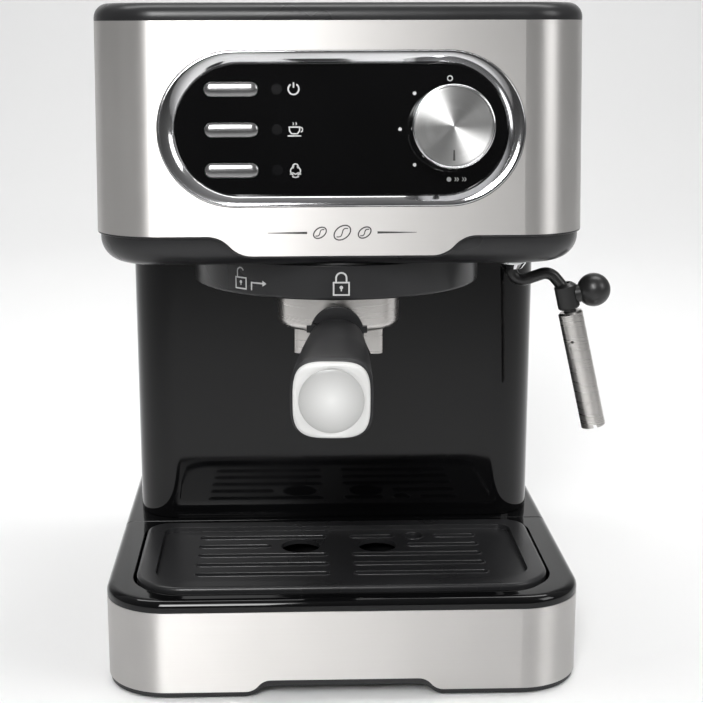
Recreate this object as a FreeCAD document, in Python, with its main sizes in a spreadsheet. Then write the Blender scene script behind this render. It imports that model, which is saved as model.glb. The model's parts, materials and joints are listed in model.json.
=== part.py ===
import FreeCAD, Part
import math
import os

import Sketcher

# Pump espresso machine with a front control panel, a bayonet filter holder, a steam wand,
# a lift-out drip tray and a lift-off water tank at the rear.
# Millimetres. +Z up, +X to the right of the person using it, -Y towards that person.
# The origin is the centre of the footprint on the worktop.

DIMENSIONS = {
    # base
    "base_width": 232.0, "base_depth": 276.0, "base_corner": 31.0, "skin": 0.8, "casing_wall": 2.4,
    "foot_lift": 0.8, "foot_radius": 9.0, "foot_recess": 2.0, "arch_height": 5.9, "arch_inner": 35.5,
    "arch_outer": 47.8, "band_bottom": 3.4, "band_arch": 9.2, "band_top": 43.9, "deck_top": 50.0,
    "deck_round": 4.0, "deck_split": -20.0, "base_floor_top": 9.0,
    # drip tray and its grid
    "tray_width": 203.4, "tray_front": -126.8, "tray_back": -29.0, "tray_corner": 24.0, "tray_gap": 1.4,
    "tray_wall": 2.0, "tray_rim_top": 47.2, "grid_top": 52.5, "grid_recess": 2.5, "grid_land": 9.5,
    "slot_pitch": 13.5, "slot_width": 4.2, "slot_first": -49.0, "slot_end": 72.8,
    "slot_middle": 6.3, "finger_hole_x": 20.0, "finger_hole_radius": 10.0, "float_x": 40.0,
    "float_hole_radius": 5.0, "slot_to_hole": 5.8,
    # column
    "column_width": 217.8, "column_front": -15.0, "column_back": 66.0, "column_corner": 24.0,
    # head
    "head_width": 236.0, "head_corner": 32.0, "head_front_low": -106.8, "front_lean": 7.75,
    "chin_bottom": 204.0, "steel_low": 219.1, "steel_tongue": 209.9, "steel_top": 317.8, "head_top": 326.0,
    "tongue_inner": 42.3, "tongue_outer": 63.5, "chin_inset": 1.5, "chin_round": 12.0, "chin_floor": 4.0,
    "cap_round": 7.0, "plate_margin": 22.0, "plate_thickness": 1.3,
    # control panel
    "panel_height": 268.4, "ring_half_width": 86.2, "ring_half_height": 36.1, "ring_lip": 0.9,
    "ring_proud": 0.8, "glass_half_width": 77.8, "glass_half_height": 30.2, "glass_depth": 4.0,
    "glass_thickness": 3.0, "button_x": -51.6, "button_spacing": 18.8, "button_length": 25.4,
    "button_height": 7.0, "button_proud": 1.4, "button_travel": 2.0, "button_gap": 0.3, "lens_x": -30.2,
    "lens_radius": 2.5, "knob_x": 51.0, "knob_radius": 20.0, "knob_proud": 18.2, "knob_gap": 0.5,
    "disc_radius": 18.1, "spindle_radius": 3.0, "running_gap": 0.05, "valve_radius": 9.0,
    "valve_depth": 54.0,
    # brewing group
    "group_y": -60.0, "collar_radius": 74.0, "collar_centre_y": -26.0, "collar_bottom": 187.0,
    "collar_wall": 2.5, "bowl_radius": 30.5, "bowl_bottom": 168.6, "bowl_wall": 1.7, "lug_radius": 34.5,
    "lug_bottom": 197.0, "lug_height": 5.0, "rim_top": 205.4, "ledge_bottom": 190.4, "ledge_top": 196.5,
    "group_radius": 36.8, "boiler_radius": 29.0, "boiler_top": 262.0, "unlock_angle": 40.0,
    # portafilter
    "handle_turn": -3.5, "handle_reach": 131.0, "handle_neck": 38.0, "spout_half_width": 22.4,
    "spout_bottom": 154.0, "handle_top": 178.5, "handle_end_width": 33.0, "handle_end_height": 32.6,
    "handle_shoulder": 1.3, "handle_fall": 1.7, "cap_dome": 14.1, "neck_width": 26.0, "neck_height": 22.0,
    "flange_radius": 13.0, "flange_height": 170.4, "bowl_round": 4.0,
    # steam wand
    "wand_x": 87.5, "wand_radius": 3.0, "wand_low": 187.6, "wand_lean": 13.3, "sleeve_radius": 6.2,
    "sleeve_gap": 0.4, "sleeve_top": 173.5, "sleeve_bottom": 113.4, "grip_radius": 5.6, "ball_radius": 8.5,
    "grip_length": 13.2, "ball_reach": 13.8, "ball_height": 6.4,
    # water tank
    "tank_width": 208.0, "tank_front": 69.0, "tank_back": 137.0, "tank_corner": 24.0, "tank_wall": 2.4,
    "tank_bottom": 50.3, "tank_top": 318.0, "lid_gap": 0.4, "hinge_pin_radius": 1.5,
    "port_radius": 8.0, "ear_x": 50.0,
    # inner works
    "pump_radius": 18.0, "pump_y": 30.0, "pump_bottom": 74.0, "pump_top": 170.0, "hose_radius": 3.5,
    "pipe_radius": 2.0, "inlet_x": 74.0, "inlet_height": 25.0, "inlet_bore": 3.6, "inlet_radius": 6.0,
}

X_AXIS = FreeCAD.Vector(1, 0, 0)
Y_AXIS = FreeCAD.Vector(0, 1, 0)
Z_AXIS = FreeCAD.Vector(0, 0, 1)

doc = FreeCAD.newDocument("EspressoMachine")
sheet = doc.addObject("Spreadsheet::Sheet", "Sizes")
for row, (alias, value) in enumerate(DIMENSIONS.items(), 1):
    sheet.set(f"A{row}", alias)
    sheet.set(f"B{row}", str(value))
    sheet.setAlias(f"B{row}", alias)
doc.recompute()


class Size:
    """A length with its number and the sheet expression that it comes from."""

    def __init__(self, number, text):
        self.number = number
        self.text = text

    def __add__(self, other):
        return Size(self.number + number(other), f"({self.text} + {text(other)})")

    def __radd__(self, other):
        return Size(number(other) + self.number, f"({text(other)} + {self.text})")

    def __sub__(self, other):
        return Size(self.number - number(other), f"({self.text} - {text(other)})")

    def __rsub__(self, other):
        return Size(number(other) - self.number, f"({text(other)} - {self.text})")

    def __mul__(self, other):
        return Size(self.number * number(other), f"({self.text} * {text(other)})")

    __rmul__ = __mul__

    def __truediv__(self, other):
        return Size(self.number / number(other), f"({self.text} / {text(other)})")

    def __neg__(self):
        return Size(-self.number, f"(0 - {self.text})")


def number(size):
    return size.number if isinstance(size, Size) else float(size)


def text(size):
    return size.text if isinstance(size, Size) else f"({size})"


def tangent(angle):
    return Size(math.tan(math.radians(angle.number)), f"tan({angle.text})")


def sine(angle):
    return Size(math.sin(math.radians(angle.number)), f"sin({angle.text})")


def cosine(angle):
    return Size(math.cos(math.radians(angle.number)), f"cos({angle.text})")


class Sizes:
    """The sheet's cells by name."""

    def __getattr__(self, alias):
        return Size(DIMENSIONS[alias], "Sizes." + alias)


dim = Sizes()


# ---------------------------------------------------------------- building blocks

def bind(thing, path, size):
    """Ties one property of a document object to the sheet."""
    if isinstance(size, Size):
        thing.setExpression(path, size.text)


def new_body(label):
    body = doc.addObject("PartDesign::Body", label)
    body.Label = label
    return body


def sketch_on(body, role, offset=0):
    """A new sketch on one of the body's origin planes, moved along that plane's normal."""
    sketch = body.newObject("Sketcher::SketchObject", body.Name + "_sketch")
    plane = [feature for feature in body.Origin.OriginFeatures if feature.Role == role][0]
    sketch.AttachmentSupport = (plane, [""])
    sketch.MapMode = "FlatFace"
    sketch.AttachmentOffset = FreeCAD.Placement(FreeCAD.Vector(0, 0, number(offset)), FreeCAD.Rotation())
    bind(sketch, "AttachmentOffset.Base.z", offset)
    return sketch


def fix_point(sketch, geometry, end, x, y):
    """Ties a line's or arc's end (1 or 2) or a centre (3) to the sketch's origin."""
    for kind, place in (("DistanceX", x), ("DistanceY", y)):
        index = sketch.addConstraint(Sketcher.Constraint(kind, -1, 1, geometry, end, number(place)))
        bind(sketch, f"Constraints[{index}]", place)


def fix_radius(sketch, geometry, radius):
    index = sketch.addConstraint(Sketcher.Constraint("Radius", geometry, number(radius)))
    bind(sketch, f"Constraints[{index}]", radius)


def vector(x, y, z=0):
    return FreeCAD.Vector(number(x), number(y), number(z))


def add_arc(sketch, centre, radius, start, end):
    """An arc from start to end round the nearer way; returns its index and its two ends' numbers."""
    first = math.atan2(start.y - centre.y, start.x - centre.x)
    last = math.atan2(end.y - centre.y, end.x - centre.x)
    turn = (last - first) % (2 * math.pi)
    ends = (1, 2)
    if turn > math.pi:
        first, last = last, first
        ends = (2, 1)
    circle = Part.Circle(centre, Z_AXIS, radius)
    return sketch.addGeometry(Part.ArcOfCircle(circle, first, last)), ends


def add_loop(sketch, corners):
    """A closed loop of (x, y) or (x, y, radius) corners; only right-angled corners take a radius."""
    count = len(corners)
    places = [vector(corner[0], corner[1]) for corner in corners]
    joints = []
    for index, corner in enumerate(corners):
        radius = corner[2] if len(corner) > 2 else 0
        if number(radius) == 0:
            joints.append(((corner[0], corner[1]), (corner[0], corner[1]), 0))
            continue
        back = (places[index - 1] - places[index]).normalize()
        ahead = (places[(index + 1) % count] - places[index]).normalize()
        enter = (corner[0] + radius * round(back.x), corner[1] + radius * round(back.y))
        leave = (corner[0] + radius * round(ahead.x), corner[1] + radius * round(ahead.y))
        joints.append((enter, leave, radius))
    lines = []
    for index, (enter, leave, radius) in enumerate(joints):
        following = joints[(index + 1) % count][0]
        line = sketch.addGeometry(Part.LineSegment(vector(*leave), vector(*following)))
        fix_point(sketch, line, 1, *leave)
        lines.append(line)
    for index, (enter, leave, radius) in enumerate(joints):
        before, after = lines[index - 1], lines[index]
        if number(radius) == 0:
            sketch.addConstraint(Sketcher.Constraint("Coincident", before, 2, after, 1))
            continue
        fix_point(sketch, before, 2, *enter)
        centre = vector(*enter) + vector(*leave) - places[index]
        arc, ends = add_arc(sketch, centre, number(radius), vector(*enter), vector(*leave))
        sketch.addConstraint(Sketcher.Constraint("Coincident", before, 2, arc, ends[0]))
        sketch.addConstraint(Sketcher.Constraint("Coincident", after, 1, arc, ends[1]))
        fix_radius(sketch, arc, radius)


def add_rectangle(sketch, left, right, low, high, low_radius=0, high_radius=0):
    add_loop(sketch, [(left, low, low_radius), (right, low, low_radius),
                      (right, high, high_radius), (left, high, high_radius)])


def add_circle(sketch, x, y, radius):
    circle = sketch.addGeometry(Part.Circle(vector(x, y), Z_AXIS, number(radius)))
    fix_point(sketch, circle, 3, x, y)
    fix_radius(sketch, circle, radius)


def add_stadium(sketch, x, y, half_length, half_height):
    """A slot outline: two straight sides and two half-round ends, long along the sketch's x."""
    left = x - half_length + half_height
    right = x + half_length - half_height
    low = y - half_height
    high = y + half_height
    bottom = sketch.addGeometry(Part.LineSegment(vector(left, low), vector(right, low)))
    top = sketch.addGeometry(Part.LineSegment(vector(right, high), vector(left, high)))
    for line, first, last in ((bottom, (left, low), (right, low)), (top, (right, high), (left, high))):
        fix_point(sketch, line, 1, *first)
        fix_point(sketch, line, 2, *last)
    radius = number(half_height)
    half_turn = math.pi / 2
    for centre, before, after in ((right, bottom, top), (left, top, bottom)):
        circle = Part.Circle(vector(centre, y), Z_AXIS, radius)
        start = -half_turn if centre is right else half_turn
        arc = sketch.addGeometry(Part.ArcOfCircle(circle, start, start + math.pi))
        sketch.addConstraint(Sketcher.Constraint("Tangent", before, 2, arc, 1))
        sketch.addConstraint(Sketcher.Constraint("Coincident", arc, 2, after, 1))


def add_wave(sketch, middle, side, inner, outer, reach, bottom):
    """The area under a line that runs at one height in the middle and at another at the sides."""
    bend = ((outer - inner) * (outer - inner) + (middle - side) * (middle - side)) / 4
    drop = middle - side
    size = abs(number(bend) / number(drop))
    points = [(-reach, side), (-outer, side), (-inner, middle), (inner, middle), (outer, side),
              (reach, side), (reach, bottom), (-reach, bottom)]
    lines = []
    for first, last in ((0, 1), (2, 3), (4, 5), (5, 6), (6, 7), (7, 0)):
        line = sketch.addGeometry(Part.LineSegment(vector(*points[first]), vector(*points[last])))
        fix_point(sketch, line, 1, *points[first])
        if last in (1, 3):
            fix_point(sketch, line, 2, *points[last])
        lines.append(line)
    for first, last in ((2, 3), (3, 4), (4, 5), (5, 0)):
        sketch.addConstraint(Sketcher.Constraint("Coincident", lines[first], 2, lines[last], 1))
    for before, after, start, end in ((0, 1, 1, 2), (1, 2, 3, 4)):
        enter, leave = vector(*points[start]), vector(*points[end])
        halfway = (enter + leave) / 2
        arcs = []
        for place, other in ((enter, halfway), (leave, halfway)):
            upward = 1 if halfway.y > place.y else -1
            centre = place + FreeCAD.Vector(0, upward * size, 0)
            arcs.append((add_arc(sketch, centre, size, place, other)))
        (first, first_ends), (second, second_ends) = arcs
        sketch.addConstraint(Sketcher.Constraint("Tangent", lines[before], 2, first, first_ends[0]))
        sketch.addConstraint(Sketcher.Constraint("Tangent", lines[after], 1, second, second_ends[0]))
        sketch.addConstraint(Sketcher.Constraint("Tangent", first, first_ends[1], second, second_ends[1]))


def add_feature(body, kind, sketch):
    feature = body.newObject("PartDesign::" + kind, f"{body.Name}_{kind}")
    feature.Profile = sketch
    return feature


def pad(body, sketch, length, reverse=False, both_ways=False):
    feature = add_feature(body, "Pad", sketch)
    feature.Length = number(length)
    bind(feature, "Length", length)
    feature.Reversed = reverse
    feature.Midplane = both_ways
    doc.recompute()
    return feature


def cut(body, sketch, length=None, reverse=False, both_ways=False):
    """A pocket, right through when it has no length; it has to take something away."""
    before = body.Shape.Volume
    feature = add_feature(body, "Pocket", sketch)
    if length is None:
        feature.Type = "ThroughAll"
    else:
        feature.Length = number(length)
        bind(feature, "Length", length)
    feature.Reversed = reverse
    feature.Midplane = both_ways
    doc.recompute()
    if body.Shape.Volume >= before:
        states = [(part.Name, part.State) for part in body.Group if "Up-to-date" not in part.State]
        raise RuntimeError(f"{body.Label}: a pocket cuts nothing {states}")
    return feature


def loft(body, kind, sketches):
    feature = add_feature(body, kind, sketches[0])
    feature.Sections = sketches[1:]
    feature.Ruled = True
    doc.recompute()
    return feature


def revolve(body, corners, kind="Revolution"):
    """Turns an (r, z) outline round the body's own Z axis."""
    sketch = sketch_on(body, "XZ_Plane")
    add_loop(sketch, corners)
    feature = add_feature(body, kind, sketch)
    feature.ReferenceAxis = (sketch, ["V_Axis"])
    feature.Angle = 360
    doc.recompute()
    return feature


def edges_where(body, test):
    """Names of the edges whose box and middle pass a test."""
    names = []
    for index, edge in enumerate(body.Shape.Edges, 1):
        if test(edge.BoundBox, edge.CenterOfMass):
            names.append(f"Edge{index}")
    return names


def round_edges(body, radius, test):
    names = edges_where(body, test)
    if not names:
        raise RuntimeError(f"{body.Label}: no edges to round")
    base = body.Tip
    feature = body.newObject("PartDesign::Fillet", body.Name + "_Fillet")
    feature.Base = (base, names)
    feature.Radius = number(radius)
    bind(feature, "Radius", radius)
    doc.recompute()
    return feature


def flat_at(height, slack=0.01):
    """An edge test: the edge lies level at this height."""
    level = number(height)
    return lambda box, middle: abs(box.ZMin - level) < slack and abs(box.ZMax - level) < slack


def place(part, x=0, y=0, z=0, axis=Z_AXIS, angle=0):
    part.Placement = FreeCAD.Placement(vector(x, y, z), FreeCAD.Rotation(axis, number(angle)))
    for letter, size in zip("xyz", (x, y, z)):
        bind(part, "Placement.Base." + letter, size)
    bind(part, "Placement.Rotation.Angle", angle)
    doc.recompute()
    return part


def turned(label, corners):
    body = new_body(label)
    revolve(body, corners)
    return body


def bent_tube(label, points, radius, bend, bends=None):
    """A round tube along straight runs joined by arcs, as one solid."""
    corners = [vector(*point) for point in points]
    edges = []
    start = corners[0]
    for index in range(1, len(corners) - 1):
        corner = corners[index]
        back = (corners[index - 1] - corner).normalize()
        ahead = (corners[index + 1] - corner).normalize()
        size = number(bends[index - 1]) if bends else number(bend)
        half = back.getAngle(ahead) / 2
        run = size / math.tan(half)
        enter = corner + back * run
        leave = corner + ahead * run
        middle_way = (back + ahead).normalize()
        centre = corner + middle_way * (size / math.sin(half))
        edges.append(Part.LineSegment(start, enter).toShape())
        edges.append(Part.Arc(enter, centre - middle_way * size, leave).toShape())
        start = leave
    edges.append(Part.LineSegment(start, corners[-1]).toShape())
    route = Part.Wire(edges)
    section = Part.Wire(Part.Circle(corners[0], corners[1] - corners[0], number(radius)).toShape())
    tube = doc.addObject("Part::Feature", label)
    tube.Label = label
    tube.Shape = route.makePipeShell([section], True, False)
    expected = math.pi * number(radius) ** 2 * route.Length
    if abs(tube.Shape.Volume / expected - 1) > 0.02:
        raise RuntimeError(f"{label}: the tube's volume doesn't match its length")
    return tube


# ---------------------------------------------------------------- base

base_half = dim.base_width / 2
base_front = -dim.base_depth / 2
base_back = dim.base_depth / 2
pan_half = base_half - dim.skin
pan_back = base_back - dim.skin


def add_base_outline(sketch, inset, low=None, high=None):
    """The footprint, inset evenly; low or high cuts it off square."""
    radius = dim.base_corner - inset
    add_rectangle(sketch, inset - base_half, base_half - inset,
                  base_front + inset if low is None else low,
                  base_back - inset if high is None else high,
                  radius if low is None else 0, radius if high is None else 0)


def make_base_pan():
    body = new_body("base_pan")
    outline = sketch_on(body, "XY_Plane", dim.foot_lift)
    add_base_outline(outline, dim.skin)
    pad(body, outline, dim.band_top - dim.foot_lift)
    cavity = sketch_on(body, "XY_Plane", dim.base_floor_top)
    add_base_outline(cavity, dim.skin + dim.casing_wall)
    cut(body, cavity, dim.band_top - dim.base_floor_top, reverse=True)
    arch = sketch_on(body, "XZ_Plane")
    add_wave(arch, dim.arch_height, dim.foot_lift, dim.arch_inner, dim.arch_outer, base_half * 2, -10)
    cut(body, arch, both_ways=True)
    recesses = sketch_on(body, "XY_Plane", dim.foot_lift)
    add_foot_circles(recesses)
    cut(body, recesses, dim.foot_recess, reverse=True)
    inlet = sketch_on(body, "XZ_Plane", -pan_back)
    add_circle(inlet, dim.inlet_x, dim.inlet_height, dim.inlet_radius)
    cut(body, inlet, dim.casing_wall * 2, reverse=True)


def add_foot_circles(sketch):
    spread_x = base_half - dim.base_corner + 3
    spread_y = base_back - dim.base_corner + 5
    for side_x in (-1, 1):
        for side_y in (-1, 1):
            add_circle(sketch, spread_x * side_x, spread_y * side_y, dim.foot_radius)


def make_rubber_feet():
    body = new_body("rubber_feet")
    sketch = sketch_on(body, "XY_Plane")
    add_foot_circles(sketch)
    pad(body, sketch, dim.foot_lift + dim.foot_recess)


def make_base_band():
    """The steel skin round the front and sides of the pan, open at the back."""
    body = new_body("base_band")
    band_back = base_back - dim.base_corner
    outline = sketch_on(body, "XY_Plane", dim.band_bottom)
    add_base_outline(outline, 0, high=band_back)
    pad(body, outline, dim.band_top - dim.band_bottom)
    inner = sketch_on(body, "XY_Plane", dim.band_bottom)
    add_base_outline(inner, dim.skin, high=band_back + 10)
    cut(body, inner, reverse=True)
    arch = sketch_on(body, "XZ_Plane")
    add_wave(arch, dim.band_arch, dim.band_bottom, dim.arch_inner, dim.arch_outer, base_half * 2, -10)
    cut(body, arch, both_ways=True)


def make_front_deck():
    """The gloss trim round the drip tray."""
    body = new_body("front_deck")
    outline = sketch_on(body, "XY_Plane", dim.band_top)
    add_base_outline(outline, 0, high=dim.deck_split)
    pad(body, outline, dim.deck_top - dim.band_top)
    split = number(dim.deck_split)
    top = flat_at(dim.deck_top)
    round_edges(body, dim.deck_round, lambda box, middle: top(box, middle) and middle.y < split - 1)
    well = sketch_on(body, "XY_Plane", dim.band_top)
    half = dim.tray_width / 2 + dim.tray_gap
    radius = dim.tray_corner + dim.tray_gap
    add_rectangle(well, -half, half, dim.tray_front - dim.tray_gap, dim.tray_back + dim.tray_gap,
                  radius, dim.tray_corner / 2)
    cut(body, well, reverse=True)


def make_rear_deck():
    """The platform under the column and the tank."""
    body = new_body("rear_deck")
    outline = sketch_on(body, "XY_Plane", dim.band_top)
    front = dim.deck_split + 0.4
    add_base_outline(outline, 0, low=front)
    pad(body, outline, dim.deck_top - dim.band_top)
    edge = number(front)
    top = flat_at(dim.deck_top)
    round_edges(body, dim.deck_round, lambda box, middle: top(box, middle) and middle.y > edge + 1)
    openings = sketch_on(body, "XY_Plane", dim.band_top)
    add_rectangle(openings, -column_inner, column_inner, dim.column_front + column_rib,
                  dim.column_back - column_rib, dim.column_corner / 2, 2)
    add_circle(openings, 0, tank_port_y, dim.port_radius)
    cut(body, openings, reverse=True)


def make_cord_gland():
    """The bush in the rear wall that a mains lead would come through."""
    body = turned("cord_gland", [
        (dim.inlet_bore, -5), (dim.inlet_radius + 2, -5), (dim.inlet_radius + 2, -dim.casing_wall),
        (dim.inlet_radius, -dim.casing_wall), (dim.inlet_radius, 0), (dim.inlet_radius - 1, dim.skin),
        (dim.inlet_bore, dim.skin)])
    place(body, dim.inlet_x, pan_back, dim.inlet_height, X_AXIS, -90)


# ---------------------------------------------------------------- drip tray

tray_half = dim.tray_width / 2
slot_rows = 5


def add_tray_outline(sketch, inset):
    add_rectangle(sketch, inset - tray_half, tray_half - inset, dim.tray_front + inset,
                  dim.tray_back - inset, dim.tray_corner - inset, dim.tray_corner / 2 - inset / 2)


def make_drip_tray():
    body = new_body("drip_tray")
    bottom = dim.base_floor_top + 0.4
    outline = sketch_on(body, "XY_Plane", bottom)
    add_tray_outline(outline, 0)
    pad(body, outline, dim.tray_rim_top - bottom)
    round_edges(body, 4, flat_at(bottom))
    cavity = sketch_on(body, "XY_Plane", bottom + dim.tray_wall)
    add_tray_outline(cavity, dim.tray_wall)
    cut(body, cavity, reverse=True)


def make_drip_grid():
    """The slotted cover: a raised border, a shallow field with slots, two finger holes and a float hole."""
    body = new_body("drip_grid")
    underside = dim.tray_rim_top + 0.3
    field_top = dim.grid_top - dim.grid_recess
    outline = sketch_on(body, "XY_Plane", underside)
    add_tray_outline(outline, 0)
    pad(body, outline, dim.grid_top - underside)
    round_edges(body, 2, flat_at(dim.grid_top))
    field = sketch_on(body, "XY_Plane", field_top)
    add_tray_outline(field, dim.grid_land)
    cut(body, field, reverse=True)
    openings = sketch_on(body, "XY_Plane", underside)
    half_width = dim.slot_width / 2
    for row in range(slot_rows):
        y = dim.slot_first - dim.slot_pitch * row
        holes_left = dim.slot_middle
        holes_right = dim.slot_middle
        if row == 1:
            holes_left = dim.finger_hole_x + dim.finger_hole_radius + dim.slot_to_hole
            holes_right = holes_left
            for side in (-1, 1):
                add_circle(openings, dim.finger_hole_x * side, y, dim.finger_hole_radius)
        add_slot(openings, -dim.slot_end, -holes_left, y, half_width)
        if row == 0:
            gap = dim.float_hole_radius + dim.slot_to_hole
            add_slot(openings, holes_right, dim.float_x - gap, y, half_width)
            add_circle(openings, dim.float_x, y, dim.float_hole_radius)
            holes_right = dim.float_x + gap
        add_slot(openings, holes_right, dim.slot_end, y, half_width)
    cut(body, openings, reverse=True)
    skirt = sketch_on(body, "XY_Plane", underside)
    add_tray_outline(skirt, dim.tray_wall + 0.4)
    add_tray_outline(skirt, dim.tray_wall * 2 + 0.4)
    pad(body, skirt, 3, reverse=True)


def add_slot(sketch, left, right, y, half_width):
    add_stadium(sketch, (left + right) / 2, y, (right - left) / 2, half_width)


def make_level_float():
    """Rises through its hole in the grid when the tray is full."""
    bottom = dim.base_floor_top + dim.tray_wall + 1
    stem = dim.float_hole_radius - 0.6
    body = turned("level_float", [
        (0, bottom), (12, bottom), (12, bottom + 10), (stem, bottom + 12),
        (stem, dim.grid_top - dim.grid_recess - 1.5), (0, dim.grid_top - dim.grid_recess - 0.8)])
    place(body, dim.float_x, dim.slot_first)


# ---------------------------------------------------------------- column

column_half = dim.column_width / 2
column_rib = dim.casing_wall + 5
column_inner = column_half - column_rib
tank_port_y = (dim.tank_front + dim.tank_back) / 2


def make_column_shell():
    """The gloss front and sides between the base and the head."""
    body = new_body("column_shell")
    outline = sketch_on(body, "XY_Plane", dim.deck_top)
    add_rectangle(outline, -column_half, column_half, dim.column_front, dim.column_back,
                  dim.column_corner, 0)
    pad(body, outline, dim.chin_bottom - dim.deck_top)
    inner = sketch_on(body, "XY_Plane", dim.deck_top)
    wall = dim.casing_wall
    add_rectangle(inner, wall - column_half, column_half - wall, dim.column_front + wall,
                  dim.column_back + 10, dim.column_corner - wall, 0)
    cut(body, inner, reverse=True)


def back_screw_places():
    inset = column_half - 10
    for side in (-1, 1):
        for height in (dim.deck_top + 12, (dim.deck_top + dim.chin_bottom) / 2, dim.chin_bottom - 12):
            yield inset * side, height


def make_back_panel():
    """The service cover behind the pump, with a row of vents."""
    body = new_body("back_panel")
    wall = dim.casing_wall
    outline = sketch_on(body, "XZ_Plane", -dim.column_back)
    add_rectangle(outline, wall - column_half, column_half - wall, dim.deck_top, dim.chin_bottom)
    pad(body, outline, wall)
    screws = sketch_on(body, "XZ_Plane", -dim.column_back)
    for x, height in back_screw_places():
        add_circle(screws, x, height, 1.5)
    cut(body, screws, both_ways=True)
    vent = sketch_on(body, "XZ_Plane", -dim.column_back)
    add_stadium(vent, 0, dim.deck_top + 30, 30, 2)
    pocket = cut(body, vent, both_ways=True)
    pattern = body.newObject("PartDesign::LinearPattern", "back_panel_vents")
    pattern.Originals = [pocket]
    pattern.Direction = (vent, ["V_Axis"])
    pattern.Length = 72
    pattern.Occurrences = 9
    body.Tip = pattern
    doc.recompute()


def make_back_screws():
    """Six identical pan-head screws in one node."""
    body = new_body("back_screws")
    heads = sketch_on(body, "XZ_Plane", -dim.column_back)
    shanks = sketch_on(body, "XZ_Plane", -dim.column_back)
    for x, height in back_screw_places():
        add_circle(heads, x, height, 3)
        add_circle(shanks, x, height, 1.5)
    pad(body, heads, 1.4, reverse=True)
    pad(body, shanks, dim.casing_wall + 2)


# ---------------------------------------------------------------- head

head_half = dim.head_width / 2
head_back = dim.column_back
lean = tangent(dim.front_lean)


def head_front(height):
    """Y of the leaning front at a height."""
    return dim.head_front_low + (height - dim.steel_low) * lean


def head_section(body, height, inset, open_back=False):
    sketch = sketch_on(body, "XY_Plane", height)
    back = head_back + 10 if open_back else head_back - inset
    add_rectangle(sketch, inset - head_half, head_half - inset, head_front(height) + inset, back,
                  dim.head_corner - inset)
    return sketch


def head_loft(body, kind, low, high, inset, open_back=False):
    return loft(body, kind, [head_section(body, height, inset, open_back) for height in (low, high)])


def upright_outline(body, height, front, inset):
    """The head's plan at one height, for the pieces too low for the lean to show."""
    sketch = sketch_on(body, "XY_Plane", height)
    add_rectangle(sketch, inset - head_half, head_half - inset, front + inset, head_back - inset,
                  dim.head_corner - inset)
    return sketch


def all_but_back(height):
    """An edge test: level at this height and not along the square back."""
    level = flat_at(height)
    back = number(head_back)
    return lambda box, middle: level(box, middle) and middle.y < back - 10


def make_head_chin():
    """The black underside of the head: a floor with a rounded edge and low walls."""
    body = new_body("head_chin")
    front = head_front(dim.steel_low)
    pad(body, upright_outline(body, dim.chin_bottom, front, dim.chin_inset),
        dim.steel_low - dim.chin_bottom)
    round_edges(body, dim.chin_round, all_but_back(dim.chin_bottom))
    floor_top = dim.chin_bottom + dim.chin_floor
    cut(body, upright_outline(body, floor_top, front, dim.chin_inset + 5.5), reverse=True)
    holes = sketch_on(body, "XY_Plane", dim.chin_bottom)
    add_circle(holes, 0, dim.group_y, dim.group_radius + 0.4)
    add_circle(holes, dim.wand_x, dim.group_y, 6)
    add_rectangle(holes, 12 - column_inner, column_inner - 12, dim.column_front + column_rib + 4,
                  dim.column_back - column_rib - 8, 6, 2)
    cut(body, holes, reverse=True)


def make_head_shell():
    """The inner casing that carries the steel wrap and closes the head's back."""
    body = new_body("head_shell")
    head_loft(body, "AdditiveLoft", dim.steel_low, dim.steel_top, dim.skin)
    head_loft(body, "SubtractiveLoft", dim.steel_low, dim.steel_top, dim.skin + dim.casing_wall)
    cut_panel_window(body)


def cut_panel_window(body):
    """The stadium hole that the panel ring's neck fills, square to the leaning front."""
    hole = sketch_on(body, "XZ_Plane")
    hole.MapMode = "Deactivated"
    hole.Placement = panel_placement
    add_stadium(hole, 0, 0, neck_half_width, neck_half_height)
    cut(body, hole, 30, both_ways=True)


def make_head_wrap():
    """The steel sheet round the head's front and sides, with a tongue low in the middle."""
    body = new_body("head_wrap")
    head_loft(body, "AdditiveLoft", dim.steel_tongue, dim.steel_top, 0)
    head_loft(body, "SubtractiveLoft", dim.steel_tongue, dim.steel_top, dim.skin, open_back=True)
    cut_panel_window(body)
    wave = sketch_on(body, "XZ_Plane")
    add_wave(wave, dim.steel_tongue, dim.steel_low, dim.tongue_inner, dim.tongue_outer,
             head_half * 2, dim.steel_tongue - 20)
    cut(body, wave, both_ways=True)
    ends = sketch_on(body, "XY_Plane", dim.steel_tongue)
    add_rectangle(ends, -head_half * 2, head_half * 2, head_back - 6, head_back + 20)
    cut(body, ends, reverse=True)


plate_half = head_half - dim.plate_margin


def add_plate_outline(sketch, inset):
    add_rectangle(sketch, inset - plate_half, plate_half - inset,
                  head_front(dim.head_top) + dim.plate_margin + inset,
                  head_back - dim.plate_margin / 2 - inset, dim.head_corner / 2, dim.head_corner / 2)


def make_top_cap():
    body = new_body("top_cap")
    front = head_front(dim.steel_top)
    pad(body, upright_outline(body, dim.steel_top, front, 0), dim.head_top - dim.steel_top)
    round_edges(body, dim.cap_round, all_but_back(dim.head_top))
    recess = sketch_on(body, "XY_Plane", dim.head_top - dim.plate_thickness - 0.3)
    add_plate_outline(recess, 0)
    cut(body, recess, reverse=True)
    hollow = upright_outline(body, dim.steel_top, front, 10)
    cut(body, hollow, 4, reverse=True)


def make_cup_plate():
    """The warming plate that cups stand on."""
    body = new_body("cup_plate")
    sketch = sketch_on(body, "XY_Plane", dim.head_top - dim.plate_thickness - 0.3)
    add_plate_outline(sketch, 0)
    pad(body, sketch, dim.plate_thickness)


# ---------------------------------------------------------------- control panel
# These bodies are drawn lying down: +Z is out of the panel, z = 0 is the steel's surface.

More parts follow.
